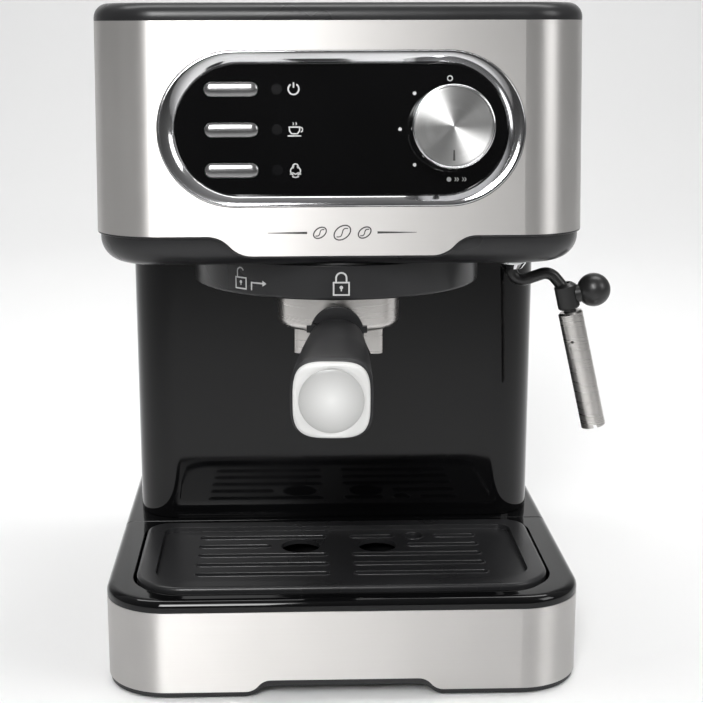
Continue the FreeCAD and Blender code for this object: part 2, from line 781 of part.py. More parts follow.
neck_half_width = dim.ring_half_width - dim.ring_lip
neck_half_height = dim.ring_half_height - dim.ring_lip
panel_y = head_front(dim.panel_height)
glass_top = -dim.glass_depth
glass_back = glass_top - dim.glass_thickness
panel_placement = FreeCAD.Placement(
    vector(0, panel_y, dim.panel_height), FreeCAD.Rotation(X_AXIS, 90 - DIMENSIONS["front_lean"]))
button_rows = [dim.button_spacing * row for row in (1, 0, -1)]


def put_on_panel(body, x=0, up=0):
    """Stands a body on the leaning panel, x to the right and up along it from its centre."""
    place(body, x, panel_y + up * sine(dim.front_lean), dim.panel_height + up * cosine(dim.front_lean),
          X_AXIS, 90 - dim.front_lean)


def stadium_on(body, height, half_width, half_height):
    sketch = sketch_on(body, "XY_Plane", height)
    add_stadium(sketch, 0, 0, half_width, half_height)
    return sketch


def make_panel_ring():
    """The polished bezel: a lip on the steel, a neck through it and a face that slopes to the glass."""
    body = new_body("panel_ring")
    pad(body, stadium_on(body, glass_back, neck_half_width, neck_half_height), -glass_back)
    pad(body, stadium_on(body, 0, dim.ring_half_width, dim.ring_half_height), dim.ring_proud)
    loft(body, "SubtractiveLoft", [
        stadium_on(body, dim.ring_proud, dim.ring_half_width - 1, dim.ring_half_height - 1),
        stadium_on(body, glass_top, dim.glass_half_width, dim.glass_half_height)])
    cut(body, stadium_on(body, glass_top, dim.glass_half_width, dim.glass_half_height))
    put_on_panel(body)


def make_control_fascia():
    """The black glass with its button, lens and spindle holes."""
    body = new_body("control_fascia")
    pad(body, stadium_on(body, glass_back, dim.glass_half_width, dim.glass_half_height),
        dim.glass_thickness)
    holes = sketch_on(body, "XY_Plane", glass_back)
    half = dim.button_length / 2 + dim.button_gap
    for up in button_rows:
        add_stadium(holes, dim.button_x, up, half, dim.button_height / 2 + dim.button_gap)
        add_circle(holes, dim.lens_x, up, dim.lens_radius)
    add_circle(holes, dim.knob_x, 0, dim.spindle_radius + 1)
    cut(body, holes, reverse=True)
    put_on_panel(body)


def make_button(label, up):
    """A pill-shaped key with a stop flange behind the glass."""
    body = new_body(label)
    half = dim.button_length / 2
    front = glass_top + dim.button_proud
    rear = glass_back - 3
    pad(body, stadium_on(body, rear, half, dim.button_height / 2), front - rear)
    round_edges(body, 0.7, flat_at(front))
    flange_top = glass_back - 0.4
    pad(body, stadium_on(body, flange_top - 1.4, half + 1.3, dim.button_height / 2 + 1.3), 1.4)
    put_on_panel(body, dim.button_x, up)


def make_indicator_lenses():
    body = new_body("indicator_lenses")
    sketch = sketch_on(body, "XY_Plane", glass_back - 2)
    for up in button_rows:
        add_circle(sketch, dim.lens_x, up, dim.lens_radius)
    pad(body, sketch, dim.glass_thickness + 2.2)
    put_on_panel(body)


def make_switch_board():
    """The circuit board with a switch under each key, a light under each lens and four posts."""
    body = new_body("switch_board")
    switch_top = glass_back - 3 - dim.button_travel - 0.4
    board_top = switch_top - 3
    board = sketch_on(body, "XY_Plane", board_top - 1.6)
    add_rectangle(board, dim.button_x - 17, dim.lens_x + 6, -27, 27, 2, 2)
    pad(body, board, 1.6)
    switches = sketch_on(body, "XY_Plane", board_top)
    lights = sketch_on(body, "XY_Plane", board_top)
    posts = sketch_on(body, "XY_Plane", board_top)
    for up in button_rows:
        add_rectangle(switches, dim.button_x - 5, dim.button_x + 5, up - 3, up + 3)
        add_circle(lights, dim.lens_x, up, 2)
    for up in (-1, 1):
        add_circle(posts, dim.button_x + 14.5, up * dim.button_spacing / 2, 1.6)
    pad(body, switches, switch_top - board_top)
    pad(body, lights, glass_back - 2 - board_top)
    pad(body, posts, glass_back - board_top)
    put_on_panel(body)


def make_steam_knob():
    """A hollow-faced chrome knob and the spun disc in its face."""
    low = glass_top + dim.knob_gap
    top = dim.knob_proud - dim.glass_depth
    knob = turned("steam_knob", [
        (dim.spindle_radius, low), (dim.knob_radius - 1.5, low), (dim.knob_radius, low + 1.5),
        (dim.knob_radius, top - 0.8), (dim.knob_radius - 0.8, top), (dim.disc_radius, top),
        (dim.disc_radius, top - 1), (0, top - 1), (0, top - 4), (dim.spindle_radius, top - 4)])
    put_on_panel(knob, dim.knob_x)
    disc = turned("knob_disc", [(0, top - 1), (dim.disc_radius, top - 1),
                                (dim.disc_radius, top - 0.4), (0, top - 0.2)])
    put_on_panel(disc, dim.knob_x)
    point = 8 - dim.valve_depth
    spindle = turned("valve_spindle", [
        (0, point), (dim.spindle_radius - 1.5, point), (dim.spindle_radius, point + 3),
        (dim.spindle_radius, top - 4), (0, top - 4)])
    put_on_panel(spindle, dim.knob_x)


def make_steam_valve():
    """The valve body behind the knob; its bore holds the spindle with a running gap."""
    bore = dim.spindle_radius + dim.running_gap
    end = -dim.valve_depth
    body = turned("steam_valve", [
        (bore, glass_back), (6, glass_back), (6, glass_back - 9), (dim.valve_radius, glass_back - 9),
        (dim.valve_radius, end), (0, end), (0, end + 7), (bore, end + 7)])
    put_on_panel(body, dim.knob_x)


# ---------------------------------------------------------------- brewing group

gasket_bottom = dim.rim_top + 0.9
gasket_inner = dim.bowl_radius - 5
gasket_outer = dim.bowl_radius + 1.5
gasket_top = gasket_bottom + 7
group_top = gasket_top + 7
throat = dim.bowl_radius + 1.1
channel = dim.lug_radius + 0.7


def make_group_collar():
    """The D-shaped skirt under the head that carries the locking marks."""
    body = new_body("group_collar")
    wall = dim.collar_wall
    for kind, grow, low, high in (("outside", 0, dim.collar_bottom, dim.chin_bottom),
                                  ("inside", wall, dim.collar_bottom + wall, dim.chin_bottom)):
        sketch = sketch_on(body, "XY_Plane", low)
        add_d_outline(sketch, dim.collar_radius - grow, dim.column_front - grow)
        if kind == "outside":
            pad(body, sketch, high - low)
            front = number(dim.column_front)
            level = flat_at(low)
            round_edges(body, 1.6, lambda box, middle: level(box, middle) and middle.y < front - 1)
        else:
            cut(body, sketch, reverse=True)
    mouth = sketch_on(body, "XY_Plane", dim.collar_bottom)
    add_circle(mouth, 0, dim.group_y, dim.group_radius + 0.4)
    cut(body, mouth, reverse=True)


def add_d_outline(sketch, radius, back):
    """A half-round front with straight sides that run back to the column."""
    centre = dim.collar_centre_y
    sides = [(radius, centre), (radius, back), (-radius, back), (-radius, centre)]
    lines = []
    for first, last in ((0, 1), (1, 2), (2, 3)):
        line = sketch.addGeometry(Part.LineSegment(vector(*sides[first]), vector(*sides[last])))
        fix_point(sketch, line, 1, *sides[first])
        lines.append(line)
    fix_point(sketch, lines[2], 2, *sides[3])
    sketch.addConstraint(Sketcher.Constraint("Coincident", lines[0], 2, lines[1], 1))
    sketch.addConstraint(Sketcher.Constraint("Coincident", lines[1], 2, lines[2], 1))
    circle = Part.Circle(vector(0, centre), Z_AXIS, number(radius))
    arc = sketch.addGeometry(Part.ArcOfCircle(circle, math.pi, 2 * math.pi))
    sketch.addConstraint(Sketcher.Constraint("Tangent", lines[2], 2, arc, 1))
    sketch.addConstraint(Sketcher.Constraint("Coincident", arc, 2, lines[0], 1))


def make_brew_group():
    """The casting with the bayonet ledge, the gasket groove and the lower half of the boiler."""
    flange_bottom = dim.chin_bottom + dim.chin_floor
    body = turned("brew_group", [
        (throat, dim.ledge_bottom), (dim.group_radius, dim.ledge_bottom),
        (dim.group_radius, flange_bottom), (dim.group_radius + 3, flange_bottom),
        (dim.group_radius + 3, flange_bottom + 3.5), (dim.group_radius, flange_bottom + 3.5),
        (dim.group_radius, group_top), (0, group_top), (0, dim.rim_top + 1.5),
        (gasket_inner, dim.rim_top + 1.5), (gasket_inner, gasket_top), (gasket_outer, gasket_top),
        (gasket_outer, gasket_bottom), (channel, gasket_bottom), (channel, dim.ledge_top),
        (throat, dim.ledge_top)])
    entry = sketch_on(body, "XY_Plane", dim.ledge_bottom)
    add_rectangle(entry, -channel, channel, -9, 9)
    cut(body, entry, dim.ledge_top - dim.ledge_bottom, reverse=True)
    place(body, 0, dim.group_y, 0, Z_AXIS, dim.handle_turn - dim.unlock_angle)


def make_group_gasket():
    body = turned("group_gasket", [
        (gasket_inner, gasket_bottom), (gasket_outer, gasket_bottom), (gasket_outer, gasket_top),
        (gasket_inner, gasket_top)])
    place(body, 0, dim.group_y)


def make_shower_screen():
    """A dished plate with rings of small holes, held up by a screw."""
    radius = gasket_inner - 0.3
    top = dim.rim_top + 1.5
    body = turned("shower_screen", [(2, top - 2), (radius, top - 2), (radius, top), (radius - 1, top),
                                    (radius - 1, top - 1), (2, top - 1)])
    for count, ring in ((10, 7), (16, 12), (22, 17)):
        hole = sketch_on(body, "XY_Plane", top - 2)
        add_circle(hole, ring, 0, 0.9)
        pocket = cut(body, hole, reverse=True)
        pattern = body.newObject("PartDesign::PolarPattern", "shower_holes")
        pattern.Originals = [pocket]
        pattern.Axis = (hole, ["N_Axis"])
        pattern.Angle = 360
        pattern.Occurrences = count
        body.Tip = pattern
        doc.recompute()
    place(body, 0, dim.group_y)
    screw = turned("shower_screw", [(0, top - 4), (4, top - 4), (4.5, top - 2), (2, top - 2), (2, top),
                                    (0, top)])
    place(screw, 0, dim.group_y)


def make_boiler():
    seal_inner = dim.boiler_radius - 3
    seal_outer = dim.boiler_radius + 3
    seal_top = group_top + 1.2
    seal = turned("boiler_seal", [(seal_inner, group_top), (seal_outer, group_top),
                                  (seal_outer, seal_top), (seal_inner, seal_top)])
    place(seal, 0, dim.group_y)
    inner = dim.boiler_radius - 4
    top = dim.boiler_top
    cap = turned("boiler_cap", [
        (inner, seal_top), (dim.boiler_radius + 6, seal_top), (dim.boiler_radius + 6, seal_top + 4),
        (dim.boiler_radius, seal_top + 4), (dim.boiler_radius, top - 6), (dim.boiler_radius - 6, top),
        (0, top), (0, top - 4), (inner - 4, top - 4), (inner, top - 8)])
    place(cap, 0, dim.group_y)
    thermostats = new_body("thermostats")
    cans = sketch_on(thermostats, "XY_Plane", top)
    for side in (-1, 1):
        add_circle(cans, 0, dim.group_y + 14 * side, 6)
    pad(thermostats, cans, 7)


# ---------------------------------------------------------------- filter holder
# Drawn about the group's axis with its handle towards -Y, then turned to where it locks.

def put_in_group(body):
    place(body, 0, dim.group_y, 0, Z_AXIS, dim.handle_turn)


def make_portafilter_bowl():
    radius = dim.bowl_radius
    inner = radius - dim.bowl_wall
    rim = radius + 0.5
    body = turned("portafilter_bowl", [
        (4, dim.bowl_bottom), (radius, dim.bowl_bottom, dim.bowl_round),
        (radius, dim.collar_bottom + 1), (rim, dim.collar_bottom + 1.5), (rim, dim.rim_top),
        (inner, dim.rim_top), (inner, dim.bowl_bottom + 5), (4, dim.bowl_bottom + 3)])
    lugs = sketch_on(body, "XY_Plane", dim.lug_bottom)
    for side in (-1, 1):
        low = radius - 0.5 if side > 0 else -(dim.lug_radius - 0.8)
        high = dim.lug_radius - 0.8 if side > 0 else -(radius - 0.5)
        add_rectangle(lugs, low, high, -6.5, 6.5)
    pad(body, lugs, dim.lug_height)
    neck = sketch_on(body, "XZ_Plane", radius - 2)
    add_circle(neck, 0, neck_height, 7)
    pad(body, neck, dim.handle_neck - radius + 2)
    bore = sketch_on(body, "XZ_Plane", dim.handle_neck)
    add_circle(bore, 0, neck_height, 2.5)
    cut(body, bore, 6)
    put_in_group(body)


neck_height = dim.handle_top - dim.neck_height / 2
end_height = dim.handle_top - dim.handle_fall - dim.handle_end_height / 2


def make_filter_basket():
    radius = dim.bowl_radius - dim.bowl_wall - 0.4
    bottom = dim.bowl_bottom + 9
    wall = 0.6
    body = turned("filter_basket", [
        (0, bottom), (radius - 2, bottom), (radius, bottom + 2), (radius, dim.rim_top),
        (dim.bowl_radius + 0.5, dim.rim_top), (dim.bowl_radius + 0.5, dim.rim_top + wall),
        (radius - wall, dim.rim_top + wall), (radius - wall, bottom + 2.4), (radius - 2.4, bottom + wall),
        (0, bottom + wall)])
    put_in_group(body)


def make_spout():
    """Two short legs under the bowl, each bored to pour."""
    body = new_body("spout")
    half = dim.spout_half_width
    top = dim.bowl_bottom
    low = dim.spout_bottom
    front = sketch_on(body, "XZ_Plane")
    add_loop(front, [(-half, top), (-half, low), (6 - half, low), (10 - half, top - 6),
                     (half - 10, top - 6), (half - 6, low), (half, low), (half, top)])
    pad(body, front, 15, both_ways=True)
    round_edges(body, 3, lambda box, middle: box.ZLength > number(top - low) - 0.1
                and abs(abs(middle.x) - number(half)) < 0.1)
    bores = sketch_on(body, "XY_Plane", low)
    for side in (-1, 1):
        add_circle(bores, (half - 4) * side, 0, 1.6)
    cut(body, bores, 9, reverse=True)
    put_in_group(body)


def handle_section(body, reach, width, height, corner, fall=0, grow=0):
    """The handle's rounded section at a reach; fall lowers its top, grow widens it evenly all round."""
    sketch = sketch_on(body, "XZ_Plane", reach)
    top = dim.handle_top - fall
    half = width / 2
    radius = half * corner + grow
    add_rectangle(sketch, -half - grow, half + grow, top - height - grow, top + grow, radius, radius)
    return sketch


def make_portafilter_handle():
    body = new_body("portafilter_handle")
    cap_start = dim.handle_reach - 4
    middle = (dim.handle_neck + cap_start) / 2
    mid_width = (dim.neck_width + dim.handle_end_width) / 2 + 0.8
    mid_height = (dim.neck_height + dim.handle_end_height) / 2 + 0.5
    loft(body, "AdditiveLoft", [
        handle_section(body, dim.handle_neck, dim.neck_width, dim.neck_height, 0.8),
        handle_section(body, middle, mid_width, mid_height, 0.7, dim.handle_fall / 2),
        handle_section(body, cap_start, dim.handle_end_width, dim.handle_end_height, 0.62,
                       dim.handle_fall, dim.handle_shoulder)])
    bore = sketch_on(body, "XZ_Plane", dim.handle_neck)
    add_circle(bore, 0, neck_height, 2.5)
    cut(body, bore, 60, reverse=True)
    put_in_group(body)
    flange = new_body("handle_flange")
    ring = sketch_on(flange, "XZ_Plane", dim.bowl_radius + 3)
    add_circle(ring, 0, dim.flange_height, dim.flange_radius)
    add_circle(ring, 0, neck_height, 7)
    pad(flange, ring, 2.2)
    tabs = sketch_on(flange, "XZ_Plane", dim.bowl_radius + 3)
    for side in (-1, 1):
        reach = dim.flange_radius + 1.7
        near = dim.flange_radius - 2
        add_rectangle(tabs, near if side > 0 else -reach, reach if side > 0 else -near,
                      dim.flange_height, dim.flange_height + 3.5)
    pad(flange, tabs, 2.2)
    put_in_group(flange)
    stud = new_body("handle_stud")
    rod = sketch_on(stud, "XZ_Plane", dim.handle_neck - 6)
    add_circle(rod, 0, neck_height, 2.5)
    pad(stud, rod, 62)
    put_in_group(stud)


def make_handle_cap():
    """The pale domed button that ends the handle."""
    body = new_body("handle_end_cap")
    start = dim.handle_reach - 4
    height = dim.handle_end_height
    first = handle_section(body, start, dim.handle_end_width, height, 0.62, dim.handle_fall)
    pad(body, first, 4)
    face = number(dim.handle_reach)
    round_edges(body, 2.4, lambda box, middle: box.YLength < 0.01 and abs(middle.y + face) < 0.01)
    dome = sketch_on(body, "XZ_Plane", dim.handle_reach)
    add_circle(dome, 0, end_height, dim.cap_dome)
    pad(body, dome, 1.4)
    top = number(dim.handle_reach + 1.4)
    round_edges(body, 1.2, lambda box, middle: box.YLength < 0.01 and abs(middle.y + top) < 0.01)
    put_in_group(body)


# ---------------------------------------------------------------- steam wand

wand_y = dim.group_y
sleeve_top_x = dim.wand_x + 30.4


def sleeve_x(height):
    """X of the sleeve's axis at a height."""
    return sleeve_top_x + (dim.sleeve_top - height) * tangent(dim.wand_lean)


def make_wand_nut():
    bore = dim.wand_radius + dim.running_gap
    low = dim.wand_low + 8.2
    top = dim.chin_bottom
    body = turned("wand_nut", [
        (bore, low), (5, low), (7.2, low + 3), (7.2, top), (6, top), (6, top + dim.chin_floor),
        (8.5, top + dim.chin_floor), (8.5, top + dim.chin_floor + 3), (5, top + dim.chin_floor + 3),
        (5, top + 12), (bore, top + 12)])
    place(body, dim.wand_x, wand_y)


def make_steam_wand():
    top = dim.chin_bottom + 11
    tip = dim.sleeve_bottom + 6
    knee = dim.sleeve_top + 10.5
    bent_tube("wand_pipe", [
        (dim.wand_x, wand_y, top), (dim.wand_x, wand_y, dim.wand_low),
        (dim.wand_x + 19.3, wand_y, dim.wand_low + 6.6), (sleeve_x(knee), wand_y, knee),
        (sleeve_x(tip), wand_y, tip)], dim.wand_radius, 0, bends=[5.5, 6.5, 8])


def turned_on_wand(label, corners, height):
    """A turned piece on the sleeve's axis; its outline runs up from the given height."""
    body = turned(label, corners)
    place(body, sleeve_x(height), wand_y, height, Y_AXIS, -dim.wand_lean)
    return body


def make_wand_grip():
    """The rubber collar that is moulded on the pipe, with its ball."""
    slope = cosine(dim.wand_lean)
    length = dim.grip_length
    body = new_body("wand_grip")
    r = dim.grip_radius
    revolve(body, [(dim.wand_radius, 0), (r - 0.6, 0), (r, 0.8), (r, length - 1.6), (r - 1.8, length),
                   (dim.wand_radius, length)])
    place(body, sleeve_x(dim.sleeve_top + 1.6), wand_y, dim.sleeve_top + 1.6, Y_AXIS, -dim.wand_lean)
    ball = sketch_on(body, "XZ_Plane")
    centre_x = dim.ball_reach
    centre_z = dim.ball_height
    add_half_disc(ball, centre_x, centre_z, dim.ball_radius)
    turn = add_feature(body, "Revolution", ball)
    turn.ReferenceAxis = (ball, ["Edge1"])
    turn.Angle = 360
    doc.recompute()
    neck = sketch_on(body, "YZ_Plane", dim.wand_radius + 0.8)
    add_circle(neck, 0, centre_z, 4.6)
    pad(body, neck, centre_x - dim.wand_radius - 0.8)


def add_half_disc(sketch, x, y, radius):
    """A half circle closed by its upright diameter, which is the sketch's first edge."""
    line = sketch.addGeometry(Part.LineSegment(vector(x, y - radius), vector(x, y + radius)))
    circle = Part.Circle(vector(x, y), Z_AXIS, number(radius))
    arc = sketch.addGeometry(Part.ArcOfCircle(circle, -math.pi / 2, math.pi / 2))
    fix_point(sketch, arc, 3, x, y)
    fix_radius(sketch, arc, radius)
    for end in (1, 2):
        sketch.addConstraint(Sketcher.Constraint("Coincident", line, end, arc, end))
        index = sketch.addConstraint(Sketcher.Constraint("DistanceX", -1, 1, arc, end, number(x)))
        bind(sketch, f"Constraints[{index}]", x)


def make_froth_sleeve():
    """The steel tube that slips over the wand's end, with an air hole and a slot at the mouth."""
    length = (dim.sleeve_top - dim.sleeve_bottom) / cosine(dim.wand_lean)
    bore = dim.wand_radius + dim.sleeve_gap
    r = dim.sleeve_radius
    body = turned_on_wand("froth_sleeve", [
        (bore, 0), (r, 0), (r, length - 1), (r - 1, length), (bore, length)], dim.sleeve_bottom)
    air_hole = sketch_on(body, "XZ_Plane")
    add_circle(air_hole, -dim.sleeve_radius * 0.45, length * 0.76, 0.7)
    cut(body, air_hole, 20, reverse=True)
    notch = sketch_on(body, "XZ_Plane")
    add_rectangle(notch, -1, 1, -2, 1.6)
    cut(body, notch, 20, reverse=True)


# ---------------------------------------------------------------- water tank

tank_half = dim.tank_width / 2
hinge_y = dim.tank_back - 3.2
hinge_height = dim.tank_top + 3.3
knuckle_radius = dim.hinge_pin_radius + 1.1
tank_front_round = 8


def add_tank_outline(sketch, inset):
    add_rectangle(sketch, inset - tank_half, tank_half - inset, dim.tank_front + inset,
                  dim.tank_back - inset, tank_front_round - inset, dim.tank_corner - inset)


def make_water_tank():
    body = new_body("water_tank")
    outline = sketch_on(body, "XY_Plane", dim.tank_bottom)
    add_tank_outline(outline, 0)
    pad(body, outline, dim.tank_top - dim.tank_bottom)
    inner = sketch_on(body, "XY_Plane", dim.tank_bottom + 5)
    add_tank_outline(inner, dim.tank_wall)
    cut(body, inner, reverse=True)
    recess = sketch_on(body, "XY_Plane", dim.tank_bottom)
    add_circle(recess, 0, tank_port_y, dim.port_radius + 6)
    cut(body, recess, 2.8, reverse=True)
    outlet = sketch_on(body, "XY_Plane", dim.tank_bottom)
    add_circle(outlet, 0, tank_port_y, 5)
    cut(body, outlet, reverse=True)
    for side in (-1, 1):
        ear = sketch_on(body, "YZ_Plane", dim.ear_x * side)
        add_rectangle(ear, hinge_y - knuckle_radius, dim.tank_back, dim.tank_top - 4, hinge_height)
        pad(body, ear, 5, reverse=side < 0)
        eye = sketch_on(body, "YZ_Plane", dim.ear_x * side)
        add_circle(eye, hinge_y, hinge_height, knuckle_radius)
        pad(body, eye, 5, reverse=side < 0)
    holes = sketch_on(body, "YZ_Plane")
    add_circle(holes, hinge_y, hinge_height, dim.hinge_pin_radius)
    cut(body, holes, both_ways=True)


def make_hinge_pin():
    body = new_body("lid_pin")
    sketch = sketch_on(body, "YZ_Plane")
    add_circle(sketch, hinge_y, hinge_height, dim.hinge_pin_radius)
    pad(body, sketch, dim.ear_x * 2 + 10, both_ways=True)


def make_tank_lid():
    """A flat flap with two knuckles at the back that turn on the pin."""
    body = new_body("tank_lid")
    low = dim.tank_top + dim.lid_gap
    rear = hinge_y - 3.4
    outline = sketch_on(body, "XY_Plane", low)
    add_rectangle(outline, -tank_half, tank_half, dim.tank_front, rear, tank_front_round,
                  dim.tank_corner - 5)
    pad(body, outline, hinge_height + 2.7 - low)
    round_edges(body, 1.5, flat_at(hinge_height + 2.7))
    for side in (-1, 1):
        near = (dim.ear_x - 0.5) * side
        knuckle = sketch_on(body, "YZ_Plane", near)
        add_circle(knuckle, hinge_y, hinge_height, knuckle_radius)
        pad(body, knuckle, 8, reverse=side > 0)
        web = sketch_on(body, "YZ_Plane", near)
        add_rectangle(web, rear - 3, hinge_y, hinge_height - 1.5, hinge_height + knuckle_radius)
        pad(body, web, 8, reverse=side > 0)
    holes = sketch_on(body, "YZ_Plane")
    add_circle(holes, hinge_y, hinge_height, dim.hinge_pin_radius + dim.running_gap)
    cut(body, holes, both_ways=True)


def make_tank_ports():
    """The tank's outlet stub and the seat in the deck that it plugs into."""
    bore = 2.5
    top = dim.tank_bottom + 6
    deck = dim.deck_top
    plug = dim.port_radius - 2.4
    stub = turned("tank_outlet", [
        (bore, deck - 5), (plug, deck - 5), (plug, deck + 3.1), (5, deck + 3.1), (5, top), (bore, top)])
    place(stub, 0, tank_port_y)
    under = dim.band_top
    outside = dim.port_radius
    inside = plug + 0.5
    seat = turned("tank_seat", [
        (bore, under - 8), (4, under - 8), (4, under), (outside, under), (outside, deck),
        (outside + 4, deck), (outside + 4, deck + 2), (inside, deck + 2), (inside, under + 0.8),
        (bore, under + 0.8)])
    place(seat, 0, tank_port_y)


# ---------------------------------------------------------------- pump and pipes

def make_pump():
    r = dim.pump_radius
    body = turned("pump", [
        (0, dim.pump_bottom - 8), (4, dim.pump_bottom - 8), (4, dim.pump_bottom), (r - 6, dim.pump_bottom),
        (r - 6, dim.pump_bottom + 18), (r, dim.pump_bottom + 18), (r, dim.pump_top - 30),
        (r - 6, dim.pump_top - 30), (r - 6, dim.pump_top), (4, dim.pump_top), (4, dim.pump_top + 8),
        (0, dim.pump_top + 8)])
    place(body, 0, dim.pump_y)
    for label, height in (("pump_mount_lower", dim.pump_bottom + 8), ("pump_mount_upper", dim.pump_top - 22)):
        bracket = new_body(label)
        sketch = sketch_on(bracket, "XY_Plane", height)
        wall_back = dim.column_back - dim.casing_wall
        add_rectangle(sketch, -r, r, dim.pump_y - r, wall_back, 6, 0)
        add_circle(sketch, 0, dim.pump_y, r - 6)
        pad(bracket, sketch, 8)


def make_pipes():
    port_low = dim.band_top - 8
    bent_tube("suction_hose", [
        (0, tank_port_y, port_low), (0, tank_port_y, 22), (0, dim.pump_y, 22),
        (0, dim.pump_y, dim.pump_bottom - 8)], dim.hose_radius, 9)
    boiler_rear = dim.group_y + dim.boiler_radius
    bent_tube("pressure_hose", [
        (0, dim.pump_y, dim.pump_top + 8), (0, dim.pump_y, 240), (0, boiler_rear - 1, 240)],
        dim.pipe_radius + 0.5, 14)
    valve_drop = (dim.group_y - panel_y) * lean
    valve_height = dim.panel_height - valve_drop
    bent_tube("steam_feed_pipe", [
        (0, dim.group_y, dim.boiler_top), (0, dim.group_y, dim.boiler_top + 24),
        (dim.knob_x, dim.group_y, dim.boiler_top + 24),
        (dim.knob_x, dim.group_y, valve_height + dim.valve_radius - 1)], dim.pipe_radius, 9)
    bent_tube("steam_hose", [
        (dim.knob_x, dim.group_y, valve_height - dim.valve_radius + 1),
        (dim.knob_x, dim.group_y, dim.chin_bottom + 28), (dim.wand_x, dim.group_y, dim.chin_bottom + 28),
        (dim.wand_x, dim.group_y, dim.chin_bottom + 12)], dim.pipe_radius + 1.6, 9)


# ---------------------------------------------------------------- build and write

make_base_pan()
make_rubber_feet()
make_base_band()
make_front_deck()
make_rear_deck()
make_cord_gland()
make_drip_tray()
make_drip_grid()
make_level_float()
make_column_shell()
make_back_panel()
make_back_screws()
make_head_chin()
make_head_shell()
make_head_wrap()
make_top_cap()
make_cup_plate()
make_panel_ring()
make_control_fascia()
for button_name, button_up in zip(("power_button", "brew_button", "steam_button"), button_rows):
    make_button(button_name, button_up)
make_indicator_lenses()
make_switch_board()
make_steam_knob()
make_steam_valve()
make_group_collar()
make_brew_group()
make_group_gasket()
make_shower_screen()
make_boiler()
make_portafilter_bowl()
make_filter_basket()
make_spout()
make_portafilter_handle()
make_handle_cap()
make_wand_nut()
make_steam_wand()
make_wand_grip()
make_froth_sleeve()
make_water_tank()
make_hinge_pin()
make_tank_lid()
make_tank_ports()
make_pump()
make_pipes()

doc.recompute()
for thing in doc.Objects:
    if "Invalid" in thing.State or "Error" in thing.State:
        raise RuntimeError(f"{thing.Label} did not compute: {thing.State}")
parts = [thing for thing in doc.Objects if thing.TypeId in ("PartDesign::Body", "Part::Feature")]
for part in parts:
    if part.Shape.isNull() or not part.Shape.isValid() or not part.Shape.Solids:
        raise RuntimeError(f"{part.Label} has no valid solid")

os.makedirs("parts", exist_ok=True)
for part in parts:
    part.Shape.exportStep(f"parts/{part.Label}.step")
print(len(parts), "parts written")
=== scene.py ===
"""Looks of a pump espresso machine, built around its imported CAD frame. Lengths are in metres."""

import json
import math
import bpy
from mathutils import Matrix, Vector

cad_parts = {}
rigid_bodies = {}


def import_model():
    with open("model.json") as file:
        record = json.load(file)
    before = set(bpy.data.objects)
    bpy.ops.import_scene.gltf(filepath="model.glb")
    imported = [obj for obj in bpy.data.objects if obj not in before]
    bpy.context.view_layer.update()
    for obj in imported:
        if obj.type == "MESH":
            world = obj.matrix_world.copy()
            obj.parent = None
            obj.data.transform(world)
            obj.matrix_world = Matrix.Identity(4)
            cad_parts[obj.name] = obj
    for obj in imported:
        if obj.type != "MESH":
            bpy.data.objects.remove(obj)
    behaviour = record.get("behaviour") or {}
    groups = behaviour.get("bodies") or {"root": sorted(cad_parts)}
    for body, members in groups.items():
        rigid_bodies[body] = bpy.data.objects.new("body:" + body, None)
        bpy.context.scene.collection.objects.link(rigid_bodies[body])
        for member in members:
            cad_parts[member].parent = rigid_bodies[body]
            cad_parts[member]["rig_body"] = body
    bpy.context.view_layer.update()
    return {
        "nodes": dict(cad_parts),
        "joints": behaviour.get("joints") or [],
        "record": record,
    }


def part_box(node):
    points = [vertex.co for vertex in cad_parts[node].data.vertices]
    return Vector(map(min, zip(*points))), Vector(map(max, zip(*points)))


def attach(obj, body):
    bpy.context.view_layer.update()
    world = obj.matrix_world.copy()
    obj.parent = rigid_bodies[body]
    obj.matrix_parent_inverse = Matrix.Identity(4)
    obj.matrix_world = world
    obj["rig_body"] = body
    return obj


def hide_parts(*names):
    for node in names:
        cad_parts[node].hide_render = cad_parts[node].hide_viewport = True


bl_info = {
    "name": "Espresso machine looks",
    "version": (1, 0, 0),
    "blender": (4, 5, 0),
    "location": "3D View > Sidebar > Espresso",
    "description": "Builds the finishes and fine pieces of a pump espresso machine",
    "category": "Object",
}

import bmesh
import bpy
from mathutils import Matrix, Vector

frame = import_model()
JOINTS = {joint["name"]: joint for joint in frame["joints"]}
MM = 0.001


# ---------------------------------------------------------------- places taken from the frame

class Panel:
    """The leaning control panel: x to the right, up along it, out of it."""

    def __init__(self):
        knob = JOINTS["steam_knob_turn"]
        self.out = Vector(knob["axis"]).normalized()
        self.up = self.out.cross(Vector((1, 0, 0)))
        self.centre = Vector((0, knob["pos_m"][1], knob["pos_m"][2]))
        self.knob_x = knob["pos_m"][0]
        self.glass = self.depth_of("control_fascia")
        self.half_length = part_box("panel_ring")[1].x
        self.half_height = max(self.along("panel_ring", self.up))

    def along(self, node, way):
        """How far each point of a node lies from the panel's middle, measured along a direction."""
        return [(point.co - self.centre).dot(way) for point in frame["nodes"][node].data.vertices]

    def depth_of(self, node):
        """How far a node's front face stands out of the steel."""
        return max(self.along(node, self.out))

    def place(self, x, up, out):
        return self.centre + Vector((x, 0, 0)) + self.up * up + self.out * out


panel = Panel()
group_axis = Vector(JOINTS["portafilter_lock"]["pos_m"])
HANDLE_TURN = math.radians(-3.5)
collar_low, collar_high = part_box("group_collar")
COLLAR_RADIUS = collar_high.x
collar_centre_y = collar_low.y + COLLAR_RADIUS
wrap_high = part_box("head_wrap")[1]
LEAN = math.asin(panel.out.z)
COLLAR_MARKS = 195.0 * MM


def head_front(height):
    """Y of the steel front at a height."""
    return panel.centre.y + (height - panel.centre.z) * math.tan(LEAN)


